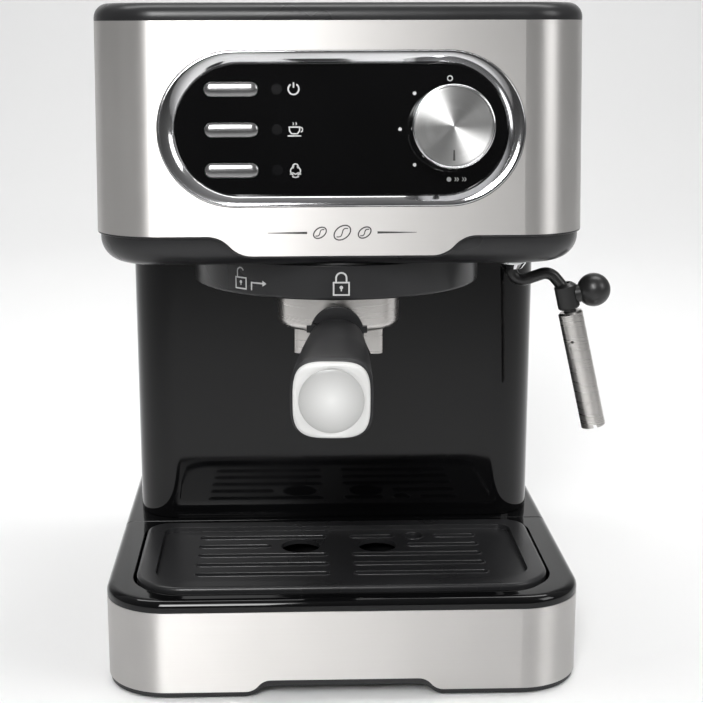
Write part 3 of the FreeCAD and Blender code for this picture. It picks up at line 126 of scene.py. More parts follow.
def around_group(x, y, z):
    """A point drawn about the group's axis with the handle towards -Y, turned to where it locks."""
    turned = Matrix.Rotation(HANDLE_TURN, 3, "Z") @ Vector((x, y, 0))
    return Vector((group_axis.x + turned.x, group_axis.y + turned.y, z))


# ---------------------------------------------------------------- sizes and colours a user would change

class FinishSettings(bpy.types.PropertyGroup):
    """Colours and edge sizes of the machine."""

    steel: bpy.props.FloatVectorProperty(
        name="Steel", description="Colour of the brushed steel", subtype="COLOR", size=3,
        default=(0.63, 0.615, 0.60), min=0, max=1)
    black: bpy.props.FloatVectorProperty(
        name="Black", description="Colour of the satin black plastic", subtype="COLOR", size=3,
        default=(0.018, 0.018, 0.019), min=0, max=1)
    gloss: bpy.props.FloatVectorProperty(
        name="Gloss black", description="Colour of the polished black plastic", subtype="COLOR", size=3,
        default=(0.003, 0.003, 0.0033), min=0, max=1)
    ink: bpy.props.FloatVectorProperty(
        name="Printing", description="Colour of the printed symbols", subtype="COLOR", size=3,
        default=(0.55, 0.55, 0.55), min=0, max=1)
    edge: bpy.props.FloatProperty(
        name="Edge", description="Rounding of the moulded edges", unit="LENGTH", default=0.5 * MM,
        min=0.1 * MM, max=1.5 * MM)


class StudioSettings(bpy.types.PropertyGroup):
    """The camera and the lights."""

    lens: bpy.props.FloatProperty(
        name="Lens", description="Focal length of the camera", unit="CAMERA", default=75.56, min=20, max=200)
    softbox: bpy.props.FloatProperty(
        name="Softbox", description="Power of the large front light in watts", default=4.2, min=0, max=500)
    floor: bpy.props.FloatVectorProperty(
        name="Floor", description="Colour of the floor", subtype="COLOR", size=3,
        default=(0.86, 0.86, 0.86), min=0, max=1)


def finish_settings():
    return bpy.context.scene.espresso_finish


def studio_settings():
    return bpy.context.scene.espresso_studio


# ---------------------------------------------------------------- materials

def add_node(tree, kind, links=(), **values):
    """Adds a node; values set its properties, links is a list of (input, output or number)."""
    node = tree.nodes.new(kind)
    for key, value in values.items():
        setattr(node, key, value)
    for socket, source in links:
        if isinstance(source, bpy.types.NodeSocket):
            tree.links.new(source, node.inputs[socket])
        else:
            node.inputs[socket].default_value = source
    return node


def colour_stops(ramp, stops):
    """Sets the grey of each stop of a ramp; new stops are added between the two that it has."""
    elements = ramp.color_ramp.elements
    for place, grey in stops[1:-1]:
        elements.new(place)
    for stop, (place, grey) in zip(elements, stops):
        stop.position = place
        stop.color = (grey, grey, grey, 1)


class Recipe:
    """A material under construction: a principled shader and the nodes that feed it."""

    def __init__(self, name, colour, roughness, metallic=0.0, **constants):
        self.material = bpy.data.materials.new(name)
        self.material.use_nodes = True
        self.tree = self.material.node_tree
        self.shader = self.tree.nodes["Principled BSDF"]
        self.colour = tuple(colour)
        self.set("Base Color", (*colour, 1))
        self.set("Roughness", roughness)
        self.set("Metallic", metallic)
        for socket, value in constants.items():
            self.set(socket.replace("_", " "), value)
        self.height = None

    def set(self, socket, value):
        self.shader.inputs[socket].default_value = value

    def add(self, kind, links=(), **values):
        return add_node(self.tree, "ShaderNode" + kind, links, **values)

    def feed(self, socket, source):
        """Links a node's output to an input of the shader."""
        self.tree.links.new(source, self.shader.inputs[socket])

    def noise(self, scale, detail=3.0, source="Object"):
        """Noise whose grain is finer along an axis with a larger scale, in cycles per metre."""
        coordinates = self.add("TexCoord").outputs[source]
        mapping = self.add("Mapping", [("Vector", coordinates), ("Scale", scale)])
        noise = self.add("TexNoise", [("Vector", mapping.outputs[0]), ("Scale", 1.0), ("Detail", detail)])
        return noise.outputs["Fac"]

    def mottle(self, fac, low, high):
        """Colour between two shares of the base colour."""
        ramp = self.add("ValToRGB", [("Fac", fac)])
        for stop, share in zip(ramp.color_ramp.elements, (low, high)):
            stop.color = (*[min(1.0, part * share) for part in self.colour], 1)
        ramp.color_ramp.elements[0].position = 0.3
        ramp.color_ramp.elements[1].position = 0.7
        self.feed("Base Color", ramp.outputs["Color"])
        return self

    def blur(self, fac, low, high):
        """Roughness between two values."""
        spread = self.add("MapRange", [("Value", fac), ("From Min", 0.3), ("From Max", 0.7),
                                       ("To Min", low), ("To Max", high)])
        self.feed("Roughness", spread.outputs["Result"])
        return self

    def relief(self, fac, depth):
        """Bump of a real depth; a second call adds to the first."""
        bump = self.add("Bump", [("Height", fac), ("Distance", depth), ("Strength", 1.0)])
        if self.height:
            self.tree.links.new(self.height, bump.inputs["Normal"])
        self.height = bump.outputs["Normal"]
        self.feed("Normal", self.height)
        return self


materials = {}


def steel(name, colour, scale, roughness, spread, along=None, depth=0.0016, stretch=0.88):
    """Brushed metal: fine scratches that run along the axis with the smallest scale."""
    recipe = Recipe(name, colour, roughness, 1.0, Anisotropic=stretch, Anisotropic_Rotation=0.25)
    grain = recipe.noise(scale, 4.0)
    cloud = recipe.noise((14, 14, 14), 2.0)
    recipe.mottle(cloud, 0.95, 1.04).blur(grain, roughness - spread, roughness + spread)
    recipe.relief(grain, depth * MM)
    if along:
        recipe.feed("Tangent", recipe.add("Tangent", direction_type="RADIAL", axis=along).outputs[0])
    return recipe.material


def moulded(name, colour, roughness, grain, depth, spread, **constants):
    """Moulded plastic or rubber: a fine skin, a slight wave of the mould and uneven gloss."""
    recipe = Recipe(name, colour, roughness, **constants)
    skin = recipe.noise((grain,) * 3, 2.0)
    wave = recipe.noise((22,) * 3, 2.0)
    recipe.mottle(wave, 0.88, 1.12).blur(wave, roughness - spread, roughness + spread)
    recipe.relief(skin, depth * MM)
    return recipe.material


def cast(name, colour, roughness, grain, depth):
    """Cast or plated metal with a pitted skin."""
    recipe = Recipe(name, colour, roughness, 1.0)
    pits = recipe.noise((grain,) * 3, 3.0)
    cloud = recipe.noise((60,) * 3, 3.0)
    recipe.mottle(cloud, 0.85, 1.08).blur(pits, roughness - 0.08, roughness + 0.1)
    recipe.relief(pits, depth * MM)
    return recipe.material


def spun_metal(name, colour):
    """Metal turned on a lathe: rings that follow the piece's own map, whose V runs outwards."""
    recipe = Recipe(name, colour, 0.3, 1.0, Anisotropic=0.9, Anisotropic_Rotation=0.25)
    rings = recipe.noise((3, 5200, 1), 3.0, "UV")
    recipe.mottle(rings, 0.93, 1.05).blur(rings, 0.32, 0.42).relief(rings, 0.0006 * MM)
    recipe.feed("Tangent", recipe.add("Tangent", direction_type="UV_MAP", uv_map="turned").outputs[0])
    return recipe.material


def clear(name, colour, roughness, transmission, index):
    """A see-through plastic with a faint wave in it."""
    recipe = Recipe(name, colour, roughness, Transmission_Weight=transmission, IOR=index)
    wave = recipe.noise((18,) * 3, 2.0)
    recipe.mottle(wave, 0.94, 1.05).relief(wave, 0.02 * MM)
    return recipe.material


def painted_sheen_coating(name, centre, reach):
    """A pale pearly lacquer whose grey is painted: lightest at the middle of the dome and greyer towards its
    edge, a painted sheen that stands in for the light the dome catches.
    """
    recipe = Recipe(name, (0.8, 0.8, 0.79), 0.3)
    place = recipe.add("TexCoord").outputs["Object"]
    way = recipe.add("VectorMath", [(0, place), (1, tuple(centre))], operation="DISTANCE").outputs["Value"]
    share = recipe.add("Math", [(0, way), (1, reach)], operation="DIVIDE")
    # Painted sheen: the base colour falls from light grey at the dome's middle to darker grey at its edge.
    ramp = recipe.add("ValToRGB", [("Fac", share.outputs[0])])
    for stop, (spot, grey) in zip(ramp.color_ramp.elements, ((0.05, 0.74), (0.95, 0.42))):
        stop.position = spot
        stop.color = (grey, grey, grey * 0.985, 1)
    recipe.feed("Base Color", ramp.outputs["Color"])
    return recipe.relief(recipe.noise((900,) * 3, 2.0), 0.001 * MM).material


def circuit_board(name, colour):
    """A green lacquered board whose tracks show through as a brick pattern."""
    recipe = Recipe(name, colour, 0.35)
    tracks = recipe.add("TexBrick", [("Vector", recipe.add("TexCoord").outputs["Object"]), ("Scale", 260.0),
                                     ("Color1", (0.01, 0.1, 0.04, 1)), ("Color2", (0.015, 0.14, 0.05, 1)),
                                     ("Mortar", (0.03, 0.22, 0.09, 1)), ("Mortar Size", 0.04)])
    recipe.feed("Base Color", tracks.outputs["Color"])
    return recipe.material


def mix_finishes():
    """One material for each slot of the record, and a few for the fine pieces."""
    look = finish_settings()
    black = tuple(look.black)
    gloss = tuple(look.gloss)
    metal = tuple(look.steel)
    level = (9, 9, 3600)
    materials.update(
        brushed_steel=steel("steel_brushed_level", metal, level, 0.47, 0.04, "Z"),
        plate_steel=steel("steel_brushed_plate", metal, (9, 3200, 9), 0.34, 0.08),
        bare_steel=steel("steel_drawn", (0.62, 0.6, 0.58), (25, 25, 1400), 0.3, 0.05, "Z", 0.0003, 0.45),
        zinc_steel=cast("steel_zinc", (0.55, 0.55, 0.57), 0.32, 700, 0.01),
        satin_black=moulded("plastic_satin", black, 0.3, 1500, 0.003, 0.05, Specular_IOR_Level=0.36),
        black_plastic=moulded("plastic_grained", (0.016, 0.016, 0.017), 0.42, 1100, 0.008, 0.05,
                              Specular_IOR_Level=0.36),
        gloss_black=moulded("plastic_gloss", gloss, 0.06, 700, 0.0004, 0.025, Specular_IOR_Level=0.3),
        black_glass=moulded("glass_black", (0.0016, 0.0016, 0.0018), 0.05, 300, 0.0002, 0.02,
                            Coat_Weight=0.4, Coat_Roughness=0.02),
        chrome=moulded("chrome_polished", (0.72, 0.72, 0.73), 0.1, 300, 0.0001, 0.03, Metallic=1.0),
        satin_silver=moulded("coating_silver", (0.5, 0.5, 0.51), 0.2, 1400, 0.0006, 0.03, Metallic=0.75),
        pale_silver=moulded("coating_pale", (0.62, 0.62, 0.61), 0.34, 1600, 0.002, 0.06),
        # The dome's colour carries a painted sheen, light at its middle and grey at its edge.
        dome_silver=painted_sheen_coating("coating_painted_sheen", around_group(0, -132 * MM, 161 * MM), 14.5 * MM),
        spun_metal=spun_metal("aluminium_spun", (0.5, 0.5, 0.495)),
        lens=moulded("lens_smoked", (0.004, 0.004, 0.0045), 0.12, 500, 0.001, 0.04),
        board=circuit_board("board_lacquered", (0.02, 0.14, 0.05)),
        rubber=moulded("rubber_matt", (0.018, 0.018, 0.018), 0.68, 900, 0.02, 0.08),
        black_silicone=moulded("silicone_satin", (0.012, 0.012, 0.012), 0.36, 1300, 0.004, 0.06),
        hose=moulded("silicone_milky", (0.68, 0.66, 0.6), 0.4, 600, 0.004, 0.06,
                     Subsurface_Weight=0.2),
        cast_aluminium=cast("aluminium_cast", (0.55, 0.55, 0.55), 0.42, 420, 0.06),
        brass=cast("brass_machined", (0.72, 0.53, 0.26), 0.3, 900, 0.01),
        copper_pipe=cast("copper_drawn", (0.78, 0.42, 0.28), 0.28, 500, 0.01),
        pump_body=moulded("nylon_pale", (0.7, 0.68, 0.62), 0.5, 500, 0.02, 0.08),
        smoke_plastic=clear("plastic_smoked", (0.2, 0.21, 0.225), 0.08, 0.9, 1.46),
        ink=moulded("ink_pale", tuple(look.ink), 0.5, 900, 0.001, 0.05),
        etched=moulded("etching_grey", (0.035, 0.034, 0.033), 0.5, 900, 0.002, 0.05),
        key_grey=moulded("coating_key", (0.3, 0.3, 0.3), 0.2, 1400, 0.0004, 0.03, Metallic=0.85),
    )


# ---------------------------------------------------------------- mesh tools

def angles(whole, count):
    """Angles that divide a whole angle evenly, both ends with it."""
    return [whole * step / count for step in range(count + 1)]


def full_turn(count):
    """Angles of a closed ring with a number of points."""
    return angles(2 * math.pi, count)[:-1]


def stand(name, data):
    """A new object in the scene."""
    thing = bpy.data.objects.new(name, data)
    bpy.context.scene.collection.objects.link(thing)
    return thing


def add_piece(name, mesh, material, body, stands_for=(), crease=35.0):
    """Puts a finished mesh in the scene as a piece that rides on a body."""
    mesh.name = name
    mesh.materials.clear()
    mesh.materials.append(materials[material])
    mesh.shade_smooth()
    if crease:
        mesh.set_sharp_from_angle(angle=math.radians(crease))
    piece = stand(name, mesh)
    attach(piece, body)
    if stands_for:
        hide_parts(*stands_for)


def to_mesh(points, faces):
    mesh = bpy.data.meshes.new("piece")
    mesh.from_pydata([tuple(point) for point in points], [], faces)
    return mesh


def turned_outwards(mesh, gap):
    """The same mesh, its points closer than a gap joined and its faces turned outwards."""
    work = bmesh.new()
    work.from_mesh(mesh)
    bmesh.ops.remove_doubles(work, verts=work.verts, dist=gap)
    bmesh.ops.recalc_face_normals(work, faces=work.faces)
    work.to_mesh(mesh)
    work.free()
    return mesh


def join_meshes(meshes):
    """One mesh out of several."""
    points, faces = [], []
    for mesh in meshes:
        start = len(points)
        points += [vertex.co.copy() for vertex in mesh.vertices]
        faces += [[start + index for index in face.vertices] for face in mesh.polygons]
        bpy.data.meshes.remove(mesh)
    return to_mesh(points, faces)


def stack_rings(rings, capped=True):
    """Skins a list of rings with the same number of points; the ends are capped where asked."""
    count = len(rings[0])
    points = [point for ring in rings for point in ring]
    faces = []
    for low in range(len(rings) - 1):
        for index in range(count):
            ahead = (index + 1) % count
            base, top = low * count, (low + 1) * count
            faces.append((base + index, base + ahead, top + ahead, top + index))
    if capped:
        faces.append(tuple(reversed(range(count))))
        faces.append(tuple(range(len(points) - count, len(points))))
    return turned_outwards(to_mesh(points, faces), 1e-7)


def tube(points, radius, sides):
    """A round tube along a list of points, closed at both ends."""
    rings = []
    side = None
    for index, point in enumerate(points):
        before = points[max(index - 1, 0)]
        after = points[min(index + 1, len(points) - 1)]
        way = (after - before).normalized()
        side = way.orthogonal().normalized() if side is None else (side - way * side.dot(way)).normalized()
        other = way.cross(side)
        rings.append([point + side * (radius * math.cos(turn)) + other * (radius * math.sin(turn))
                      for turn in full_turn(sides)])
    return stack_rings(rings)


def softened(node, round_over, steps):
    """A copy of a CAD node as a plain mesh, its sharp edges rounded over."""
    work = bmesh.new()
    work.from_mesh(frame["nodes"][node].data)
    bmesh.ops.remove_doubles(work, verts=work.verts, dist=2e-6)
    bmesh.ops.dissolve_limit(work, angle_limit=math.radians(0.3), verts=work.verts, edges=work.edges)
    points = [vertex.co.copy() for vertex in work.verts]
    work.verts.index_update()
    faces = [[vertex.index for vertex in face.verts] for face in work.faces]
    work.free()
    blank = stand("blank", to_mesh(points, faces))
    blank.data.shade_smooth()
    bevel = blank.modifiers.new("edges", "BEVEL")
    bevel.width = round_over
    bevel.segments = steps
    bevel.limit_method = "ANGLE"
    bevel.angle_limit = math.radians(30)
    bevel.harden_normals = True
    return evaluated(blank)


def evaluated(blank):
    """The plain mesh that an object's modifiers make; the object itself is removed."""
    bpy.context.view_layer.update()
    graph = bpy.context.evaluated_depsgraph_get()
    mesh = bpy.data.meshes.new_from_object(blank.evaluated_get(graph))
    bpy.data.objects.remove(blank)
    return mesh


def refine(node, round_over, material, steps=2):
    """Stands a softened copy in for a CAD node, finished with the given material."""
    body = frame["nodes"][node]["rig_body"]
    add_piece(node + "_finished", softened(node, round_over, steps), material, body,
              (node,), crease=None)


def stadium(half_length, half_height, count=28):
    """Points round a slot outline, anticlockwise from its lower right."""
    flat = max(half_length - half_height, 0)
    points = []
    for side, start in ((1, -0.5), (-1, 0.5)):
        for step in range(count + 1):
            turn = math.pi * (start + step / count)
            points.append((side * flat + half_height * math.cos(turn), half_height * math.sin(turn)))
    return points


def lathe(profile, place, sides=96, closed=False):
    """Turns (radius, out) points round an axis; place(x, up, out) gives the point. Adds a turned map."""
    rings = []
    for radius, out in profile:
        rings.append([place(radius * math.cos(turn), radius * math.sin(turn), out)
                      for turn in full_turn(sides)])
    count = len(rings)
    points = [point for ring in rings for point in ring]
    faces, corners = [], []
    for low in range(count if closed else count - 1):
        high = (low + 1) % count
        for step in range(sides):
            ahead = (step + 1) % sides
            faces.append((low * sides + step, low * sides + ahead, high * sides + ahead, high * sides + step))
            corners += [(share / sides, radius) for share, radius in (
                (step, profile[low][0]), (step + 1, profile[low][0]),
                (step + 1, profile[high][0]), (step, profile[high][0]))]
    mesh = to_mesh(points, faces)
    layer = mesh.uv_layers.new(name="turned")
    for loop, corner in zip(layer.data, corners):
        loop.uv = corner
    return turned_outwards(mesh, 2e-7)


# ---------------------------------------------------------------- flat marks

def ribbon(points, width, closed=False):
    """The two sides of a line of even width in the plane, mitred at its corners."""
    count = len(points)
    left, right = [], []
    for index, point in enumerate(points):
        before = points[index - 1] if closed or index else None
        after = points[(index + 1) % count] if closed or index < count - 1 else None
        ways = []
        if before is not None:
            ways.append((Vector(point) - Vector(before)).normalized())
        if after is not None:
            ways.append((Vector(after) - Vector(point)).normalized())
        way = (sum(ways, Vector((0, 0)))).normalized()
        normal = Vector((-way.y, way.x))
        stretch = 1 / max(0.5, way.dot(ways[0]))
        left.append(Vector(point) + normal * (width / 2 * stretch))
        right.append(Vector(point) - normal * (width / 2 * stretch))
    return left, right


def arc(x, y, radius, start, end, steps=24):
    """Points of an arc between two angles in degrees."""
    turns = [math.radians(start + (end - start) * step / steps) for step in range(steps + 1)]
    return [(x + radius * math.cos(turn), y + radius * math.sin(turn)) for turn in turns]


def finely(line, closed, step=0.8):
    """The same line with no stretch longer than a step, so that it can follow a curve."""
    fine = []
    for here, there in zip(line, line[1:] + (line[:1] if closed else [])):
        count = max(1, math.ceil(math.dist(here, there) / step))
        fine += [tuple(a + (b - a) * part / count for a, b in zip(here, there)) for part in range(count)]
    return fine if closed else fine + [line[-1]]


def raise_marks(strokes, place, thickness):
    """Thin raised marks. A stroke is (points, width, closed); width None fills the outline. Sizes in mm."""
    points, faces = [], []
    strokes = [(finely(line, closed) if width else line, width, closed) for line, width, closed in strokes]

    def add(flat_points):
        start = len(points)
        for x, y in flat_points:
            points.append(place(x * MM, y * MM, -thickness))
        for x, y in flat_points:
            points.append(place(x * MM, y * MM, thickness))
        return start, len(flat_points)

    for line, width, closed in strokes:
        if width is None:
            start, count = add(line)
            faces.append(tuple(start + count + index for index in range(count)))
            faces.extend((start + index, start + (index + 1) % count, start + count + (index + 1) % count,
                          start + count + index) for index in range(count))
            continue
        left, right = ribbon(line, width, closed)
        start, double = add(left + right)
        count = len(left)
        for index in range(count if closed else count - 1):
            ahead = (index + 1) % count
            a, b, c, d = start + index, start + ahead, start + count + ahead, start + count + index
            faces.append((d + double, c + double, b + double, a + double))
            faces.append((a, b, b + double, a + double))
            faces.append((c, d, d + double, c + double))
        if not closed:
            for a, b in ((start, start + count), (start + 2 * count - 1, start + count - 1)):
                faces.append((a, b, b + double, a + double))
    return to_mesh(points, faces)


def mark(name, strokes, place, material, body="chassis", thickness=0.04 * MM):
    """Puts raised marks on the machine as a piece."""
    add_piece(name, raise_marks(strokes, place, thickness), material, body)


def shifted(strokes, x, y, size=1.0):
    return [([(x + px * size, y + py * size) for px, py in line], width and width * size, closed)
            for line, width, closed in strokes]


def disc(x, y, radius, steps=20):
    return (arc(x, y, radius, 0, 360 * (steps - 1) / steps, steps - 1), None, True)


POWER_SYMBOL = [(arc(0, 0, 2.5, 122, 418), 0.75, False), ([(0, 0.6), (0, 3.1)], 0.75, False)]
CUP_SYMBOL = [
    ([(-2.5, 1.2), (2.5, 1.2), (2.3, -0.6), (1.4, -1.9), (-1.4, -1.9), (-2.3, -0.6)], 0.6, True),
    (arc(2.7, 0, 1.1, -80, 80, 12), 0.5, False), ([(-3.2, -2.9), (3.2, -2.9)], 0.6, False),
    ([(-0.8, 2.0), (-0.4, 2.7), (-0.8, 3.4)], 0.4, False), ([(0.6, 2.0), (1.0, 2.7), (0.6, 3.4)], 0.4, False)]
STEAM_SYMBOL = [
    (arc(0, 1.6, 1.3, -40, 220, 18), 0.6, False), (arc(-0.2, -0.4, 2.1, 100, 250, 18), 0.55, False),
    (arc(0.2, -0.4, 2.1, 80, -70, 18), 0.55, False), ([(-2.6, -2.0), (-1.2, -1.2), (0, -2.0), (1.2, -1.2),
                                                      (2.6, -2.0)], 0.5, False),
    ([(-1.6, -3.0), (0, -3.4), (1.6, -3.0)], 0.5, False)]
PADLOCK = [([(-3.7, -5.2), (3.7, -5.2), (3.7, 0.8), (-3.7, 0.8)], 0.75, True), disc(0, -1.6, 0.85),
           ([(0, -1.6), (0, -3.4)], 0.6, False)]
SHUT_BOW = [([(-2.5, 0.8), (-2.5, 3.0)] + arc(0, 3.0, 2.5, 180, 0, 16)[1:] + [(2.5, 0.8)], 0.8, False)]
OPEN_BOW = [([(-2.5, 0.8), (-2.5, 4.0)] + arc(-0.3, 4.0, 2.2, 180, 20, 16)[1:], 0.7, False)]
TURN_ARROW = [([(-4.0, -3.4), (-4.0, 0.4), (2.6, 0.4)], 0.75, False),
              ([(2.4, -1.1), (4.6, 0.4), (2.4, 1.9)], None, True)]


def bean(x, y, length, width, tilt):
    """An outlined coffee bean with its wavy seam."""
    turn = Matrix.Rotation(math.radians(tilt), 2)
    outline = [turn @ Vector((length * math.cos(t), width * math.sin(t))) for t in full_turn(28)]
    seam = [turn @ Vector((length * 0.78 * s, width * 0.32 * math.sin(math.pi * s)))
            for s in (step / 8 - 1 for step in range(17))]
    return [([(x + p.x, y + p.y) for p in outline], 0.6, True),
            ([(x + p.x, y + p.y) for p in seam], 0.5, False)]


def on_collar(shift):
    """Places marks on the collar's round front; shift is the distance along it from the middle."""
    def place(x, y, out):
        turn = (x + shift) / COLLAR_RADIUS
        reach = COLLAR_RADIUS + out
        return Vector((reach * math.sin(turn), collar_centre_y - reach * math.cos(turn), COLLAR_MARKS + y))
    return place


# ---------------------------------------------------------------- repeating pieces

def node_group(name, sockets):
    """A geometry tree with named inputs; returns the tree and its group input and output nodes."""
    tree = bpy.data.node_groups.new(name, "GeometryNodeTree")
    tree.interface.new_socket("Geometry", in_out="INPUT", socket_type="NodeSocketGeometry")
    for label, kind in sockets:
        tree.interface.new_socket(label, in_out="INPUT", socket_type="NodeSocket" + kind)
    tree.interface.new_socket("Geometry", in_out="OUTPUT", socket_type="NodeSocketGeometry")
    return tree, tree.nodes.new("NodeGroupInput"), tree.nodes.new("NodeGroupOutput")


def row_tree():
    """Copies the incoming shape in a grid of columns and rows."""
    tree, start, end = node_group("rows_of_pieces", [
        ("Columns", "Int"), ("Column spacing", "Vector"), ("Rows", "Int"), ("Row spacing", "Vector"),
        ("First place", "Vector"), ("Finish", "Material")])
    given = start.outputs

    def add(kind, **sources):
        """Adds a node and links its named inputs."""
        node = tree.nodes.new("GeometryNode" + kind)
        if kind == "MeshLine":
            node.mode = "OFFSET"
        for socket, source in sources.items():
            tree.links.new(source, node.inputs[socket.replace("_", " ")])
        return node.outputs[0]

    line = add("MeshLine", Count=given["Columns"], Offset=given["Column spacing"])
    across = add("InstanceOnPoints", Points=line, Instance=given["Geometry"])
    ladder = add("MeshLine", Count=given["Rows"], Start_Location=given["First place"],
                 Offset=given["Row spacing"])
    upward = add("InstanceOnPoints", Points=ladder, Instance=across)
    coat = add("SetMaterial", Geometry=add("RealizeInstances", Geometry=upward), Material=given["Finish"])
    tree.links.new(coat, end.inputs[0])
    return tree


def repeated(shape, tree, material, first, rows=1, climb=(0, 0, 0), columns=1, across=(0, 0, 0)):
    """The plain mesh that a geometry tree makes of a shape, with its named inputs set."""
    blank = stand("blank", shape)
    modifier = blank.modifiers.new("rows", "NODES")
    modifier.node_group = tree
    values = {"Finish": materials[material], "First place": first, "Rows": rows, "Row spacing": climb,
              "Columns": columns, "Column spacing": across}
    for item in tree.interface.items_tree:
        if item.item_type == "SOCKET" and item.in_out == "INPUT" and item.name in values:
            modifier[item.identifier] = values[item.name]
    return evaluated(blank)


# ---------------------------------------------------------------- operators

class ESPRESSO_OT_finishes(bpy.types.Operator):
    """Gives every CAD node the material of its slot"""

    bl_idname = "espresso.finishes"
    bl_label = "Finish the parts"

    def execute(self, context):
        mix_finishes()
        for subpart in frame["record"]["subparts"]:
            mesh = frame["nodes"][subpart["node"]].data
            mesh.materials.clear()
            mesh.materials.append(materials[subpart["material_slot"]])
        frame["nodes"]["cup_plate"].data.materials[0] = materials["plate_steel"]
        return {"FINISHED"}


def tongue_edge(x, side, middle, inner, outer):
    """Height of the steel's lower edge at x: two equal arcs join the tongue to the sides."""
    reach = abs(x)
    if reach <= inner:
        return middle
    if reach >= outer:
        return side
    span, drop = outer - inner, side - middle
    bend = (span * span + drop * drop) / (4 * drop)
    if reach < (inner + outer) / 2:
        return middle + bend - math.sqrt(bend * bend - (reach - inner) ** 2)
    return side - bend + math.sqrt(bend * bend - (outer - reach) ** 2)


def head_route(height_of, inset, corner, back, steps=14):
    """Points round the head's left side, front and right side."""
    half = wrap_high.x - inset
    route = []
    level = height_of(half)
    front = head_front(level) + inset
    for y in (back, (back + front) / 2, front + corner):
        route.append(Vector((-half, y, level)))
    for turn in angles(math.pi / 2, steps)[1:]:
        route.append(Vector((-half + corner - corner * math.cos(turn),
                             front + corner - corner * math.sin(turn), level)))
    span = half - corner
    for step in range(1, 80):
        x = -span + 2 * span * step / 80
        height = height_of(x)
        route.append(Vector((x, head_front(height) + inset, height)))
    route += [Vector((-point.x, point.y, point.z)) for point in reversed(route[:3 + steps])]
    return route


class ESPRESSO_OT_head(bpy.types.Operator):
    """Rounds the head's mouldings and lays a bead along the steel's lower edge"""

    bl_idname = "espresso.head"
    bl_label = "Build the head"

    def execute(self, context):
        edge = finish_settings().edge
        refine("top_cap", edge, "satin_black")
        refine("head_chin", edge, "satin_black")
        low_side = 219.1 * MM
        low_middle = 209.9 * MM
        tongue = (42.3 * MM, 63.5 * MM)
        bead = 0.55 * MM

        def lower(x):
            return tongue_edge(x, low_side, low_middle, *tongue) - bead

        corner = 32 * MM
        back = wrap_high.y - 1 * MM
        lower_route = head_route(lower, bead + 0.1 * MM, corner, back)
        add_piece("steel_lower_bead", tube(lower_route, bead, 10), "satin_black", "chassis")
        return {"FINISHED"}


class ESPRESSO_OT_panel(bpy.types.Operator):
    """Builds the chrome ring, a black band of painted shadow round it, and the three keys"""

    bl_idname = "espresso.panel"
    bl_label = "Build the control panel"

    def execute(self, context):
        self.ring()
        for name in ("power", "brew", "steam"):
            self.key(name + "_button")
        return {"FINISHED"}

    def ring(self):
        """Lip on the steel, a rolled crest and a long slope down to the glass."""
        length, height = panel.half_length, panel.half_height
        proud = panel.depth_of("panel_ring")
        slope_x, slope_up = 8.4 * MM, 5.9 * MM
        profile = [(0.02, 0.0), (0.02, 0.55), (0.03, 0.8), (0.06, 0.95), (0.11, 1.0), (0.17, 0.97),
                   (0.24, 0.85), (0.4, 0.45), (0.6, -0.3), (0.8, -1.3), (0.93, -2.3), (0.97, -3.4),
                   (1.0, -4.6)]

        def outline(inset_x, inset_up, out):
            return [panel.place(x, up, out) for x, up in stadium(length - inset_x, height - inset_up, 40)]

        rings = [outline(share * slope_x, share * slope_up, proud * rise if rise > 0 else rise * 0.9 * MM)
                 for share, rise in profile]
        rings.append(outline(1 * MM, 1 * MM, panel.glass - 0.1 * MM))
        rings.append(outline(0.95 * MM, 0.95 * MM, 0.0))
        rings.append(rings[0])
        add_piece("panel_ring_polished", stack_rings(rings, capped=False), "chrome", "chassis",
                  ("panel_ring",), crease=50)
        # Painted shadow: a thin black band round the ring's outer edge stands in for the shadow gap between
        # the ring and the steel; there is no seal there.
        shadow_gap_band = [outline(inset * MM, inset * MM, out * MM) for inset, out in (
            (-0.15, -0.3), (-0.15, 0.12), (-0.05, 0.22), (0.2, 0.22), (0.2, -0.3), (-0.15, -0.3))]
        add_piece("panel_ring_painted_shadow_gap", stack_rings(shadow_gap_band, capped=False), "rubber", "chassis")

    def key(self, node):
        """A slot-shaped key with a rounded crown."""
        low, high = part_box(node)
        x = ((low + high) / 2).x
        heights = panel.along(node, panel.up)
        up = (min(heights) + max(heights)) / 2
        half_length, half_height = 12.7 * MM, 3.5 * MM
        crown = panel.depth_of(node) - panel.glass
        profile = [(0, -5.0 * MM), (0, crown * 0.1)]
        profile += [(3.2 * (1 - math.cos(turn)), crown * (0.1 + 0.9 * math.sin(turn)))
                    for turn in angles(math.pi / 2, 9)[1:]]
        rings = [[panel.place(x + px, up + pu, panel.glass + out)
                  for px, pu in stadium(half_length - inset * MM, half_height - inset * MM, 16)]
                 for inset, out in profile]
        add_piece(node + "_cap", stack_rings(rings), "key_grey", node, (node,), crease=60)


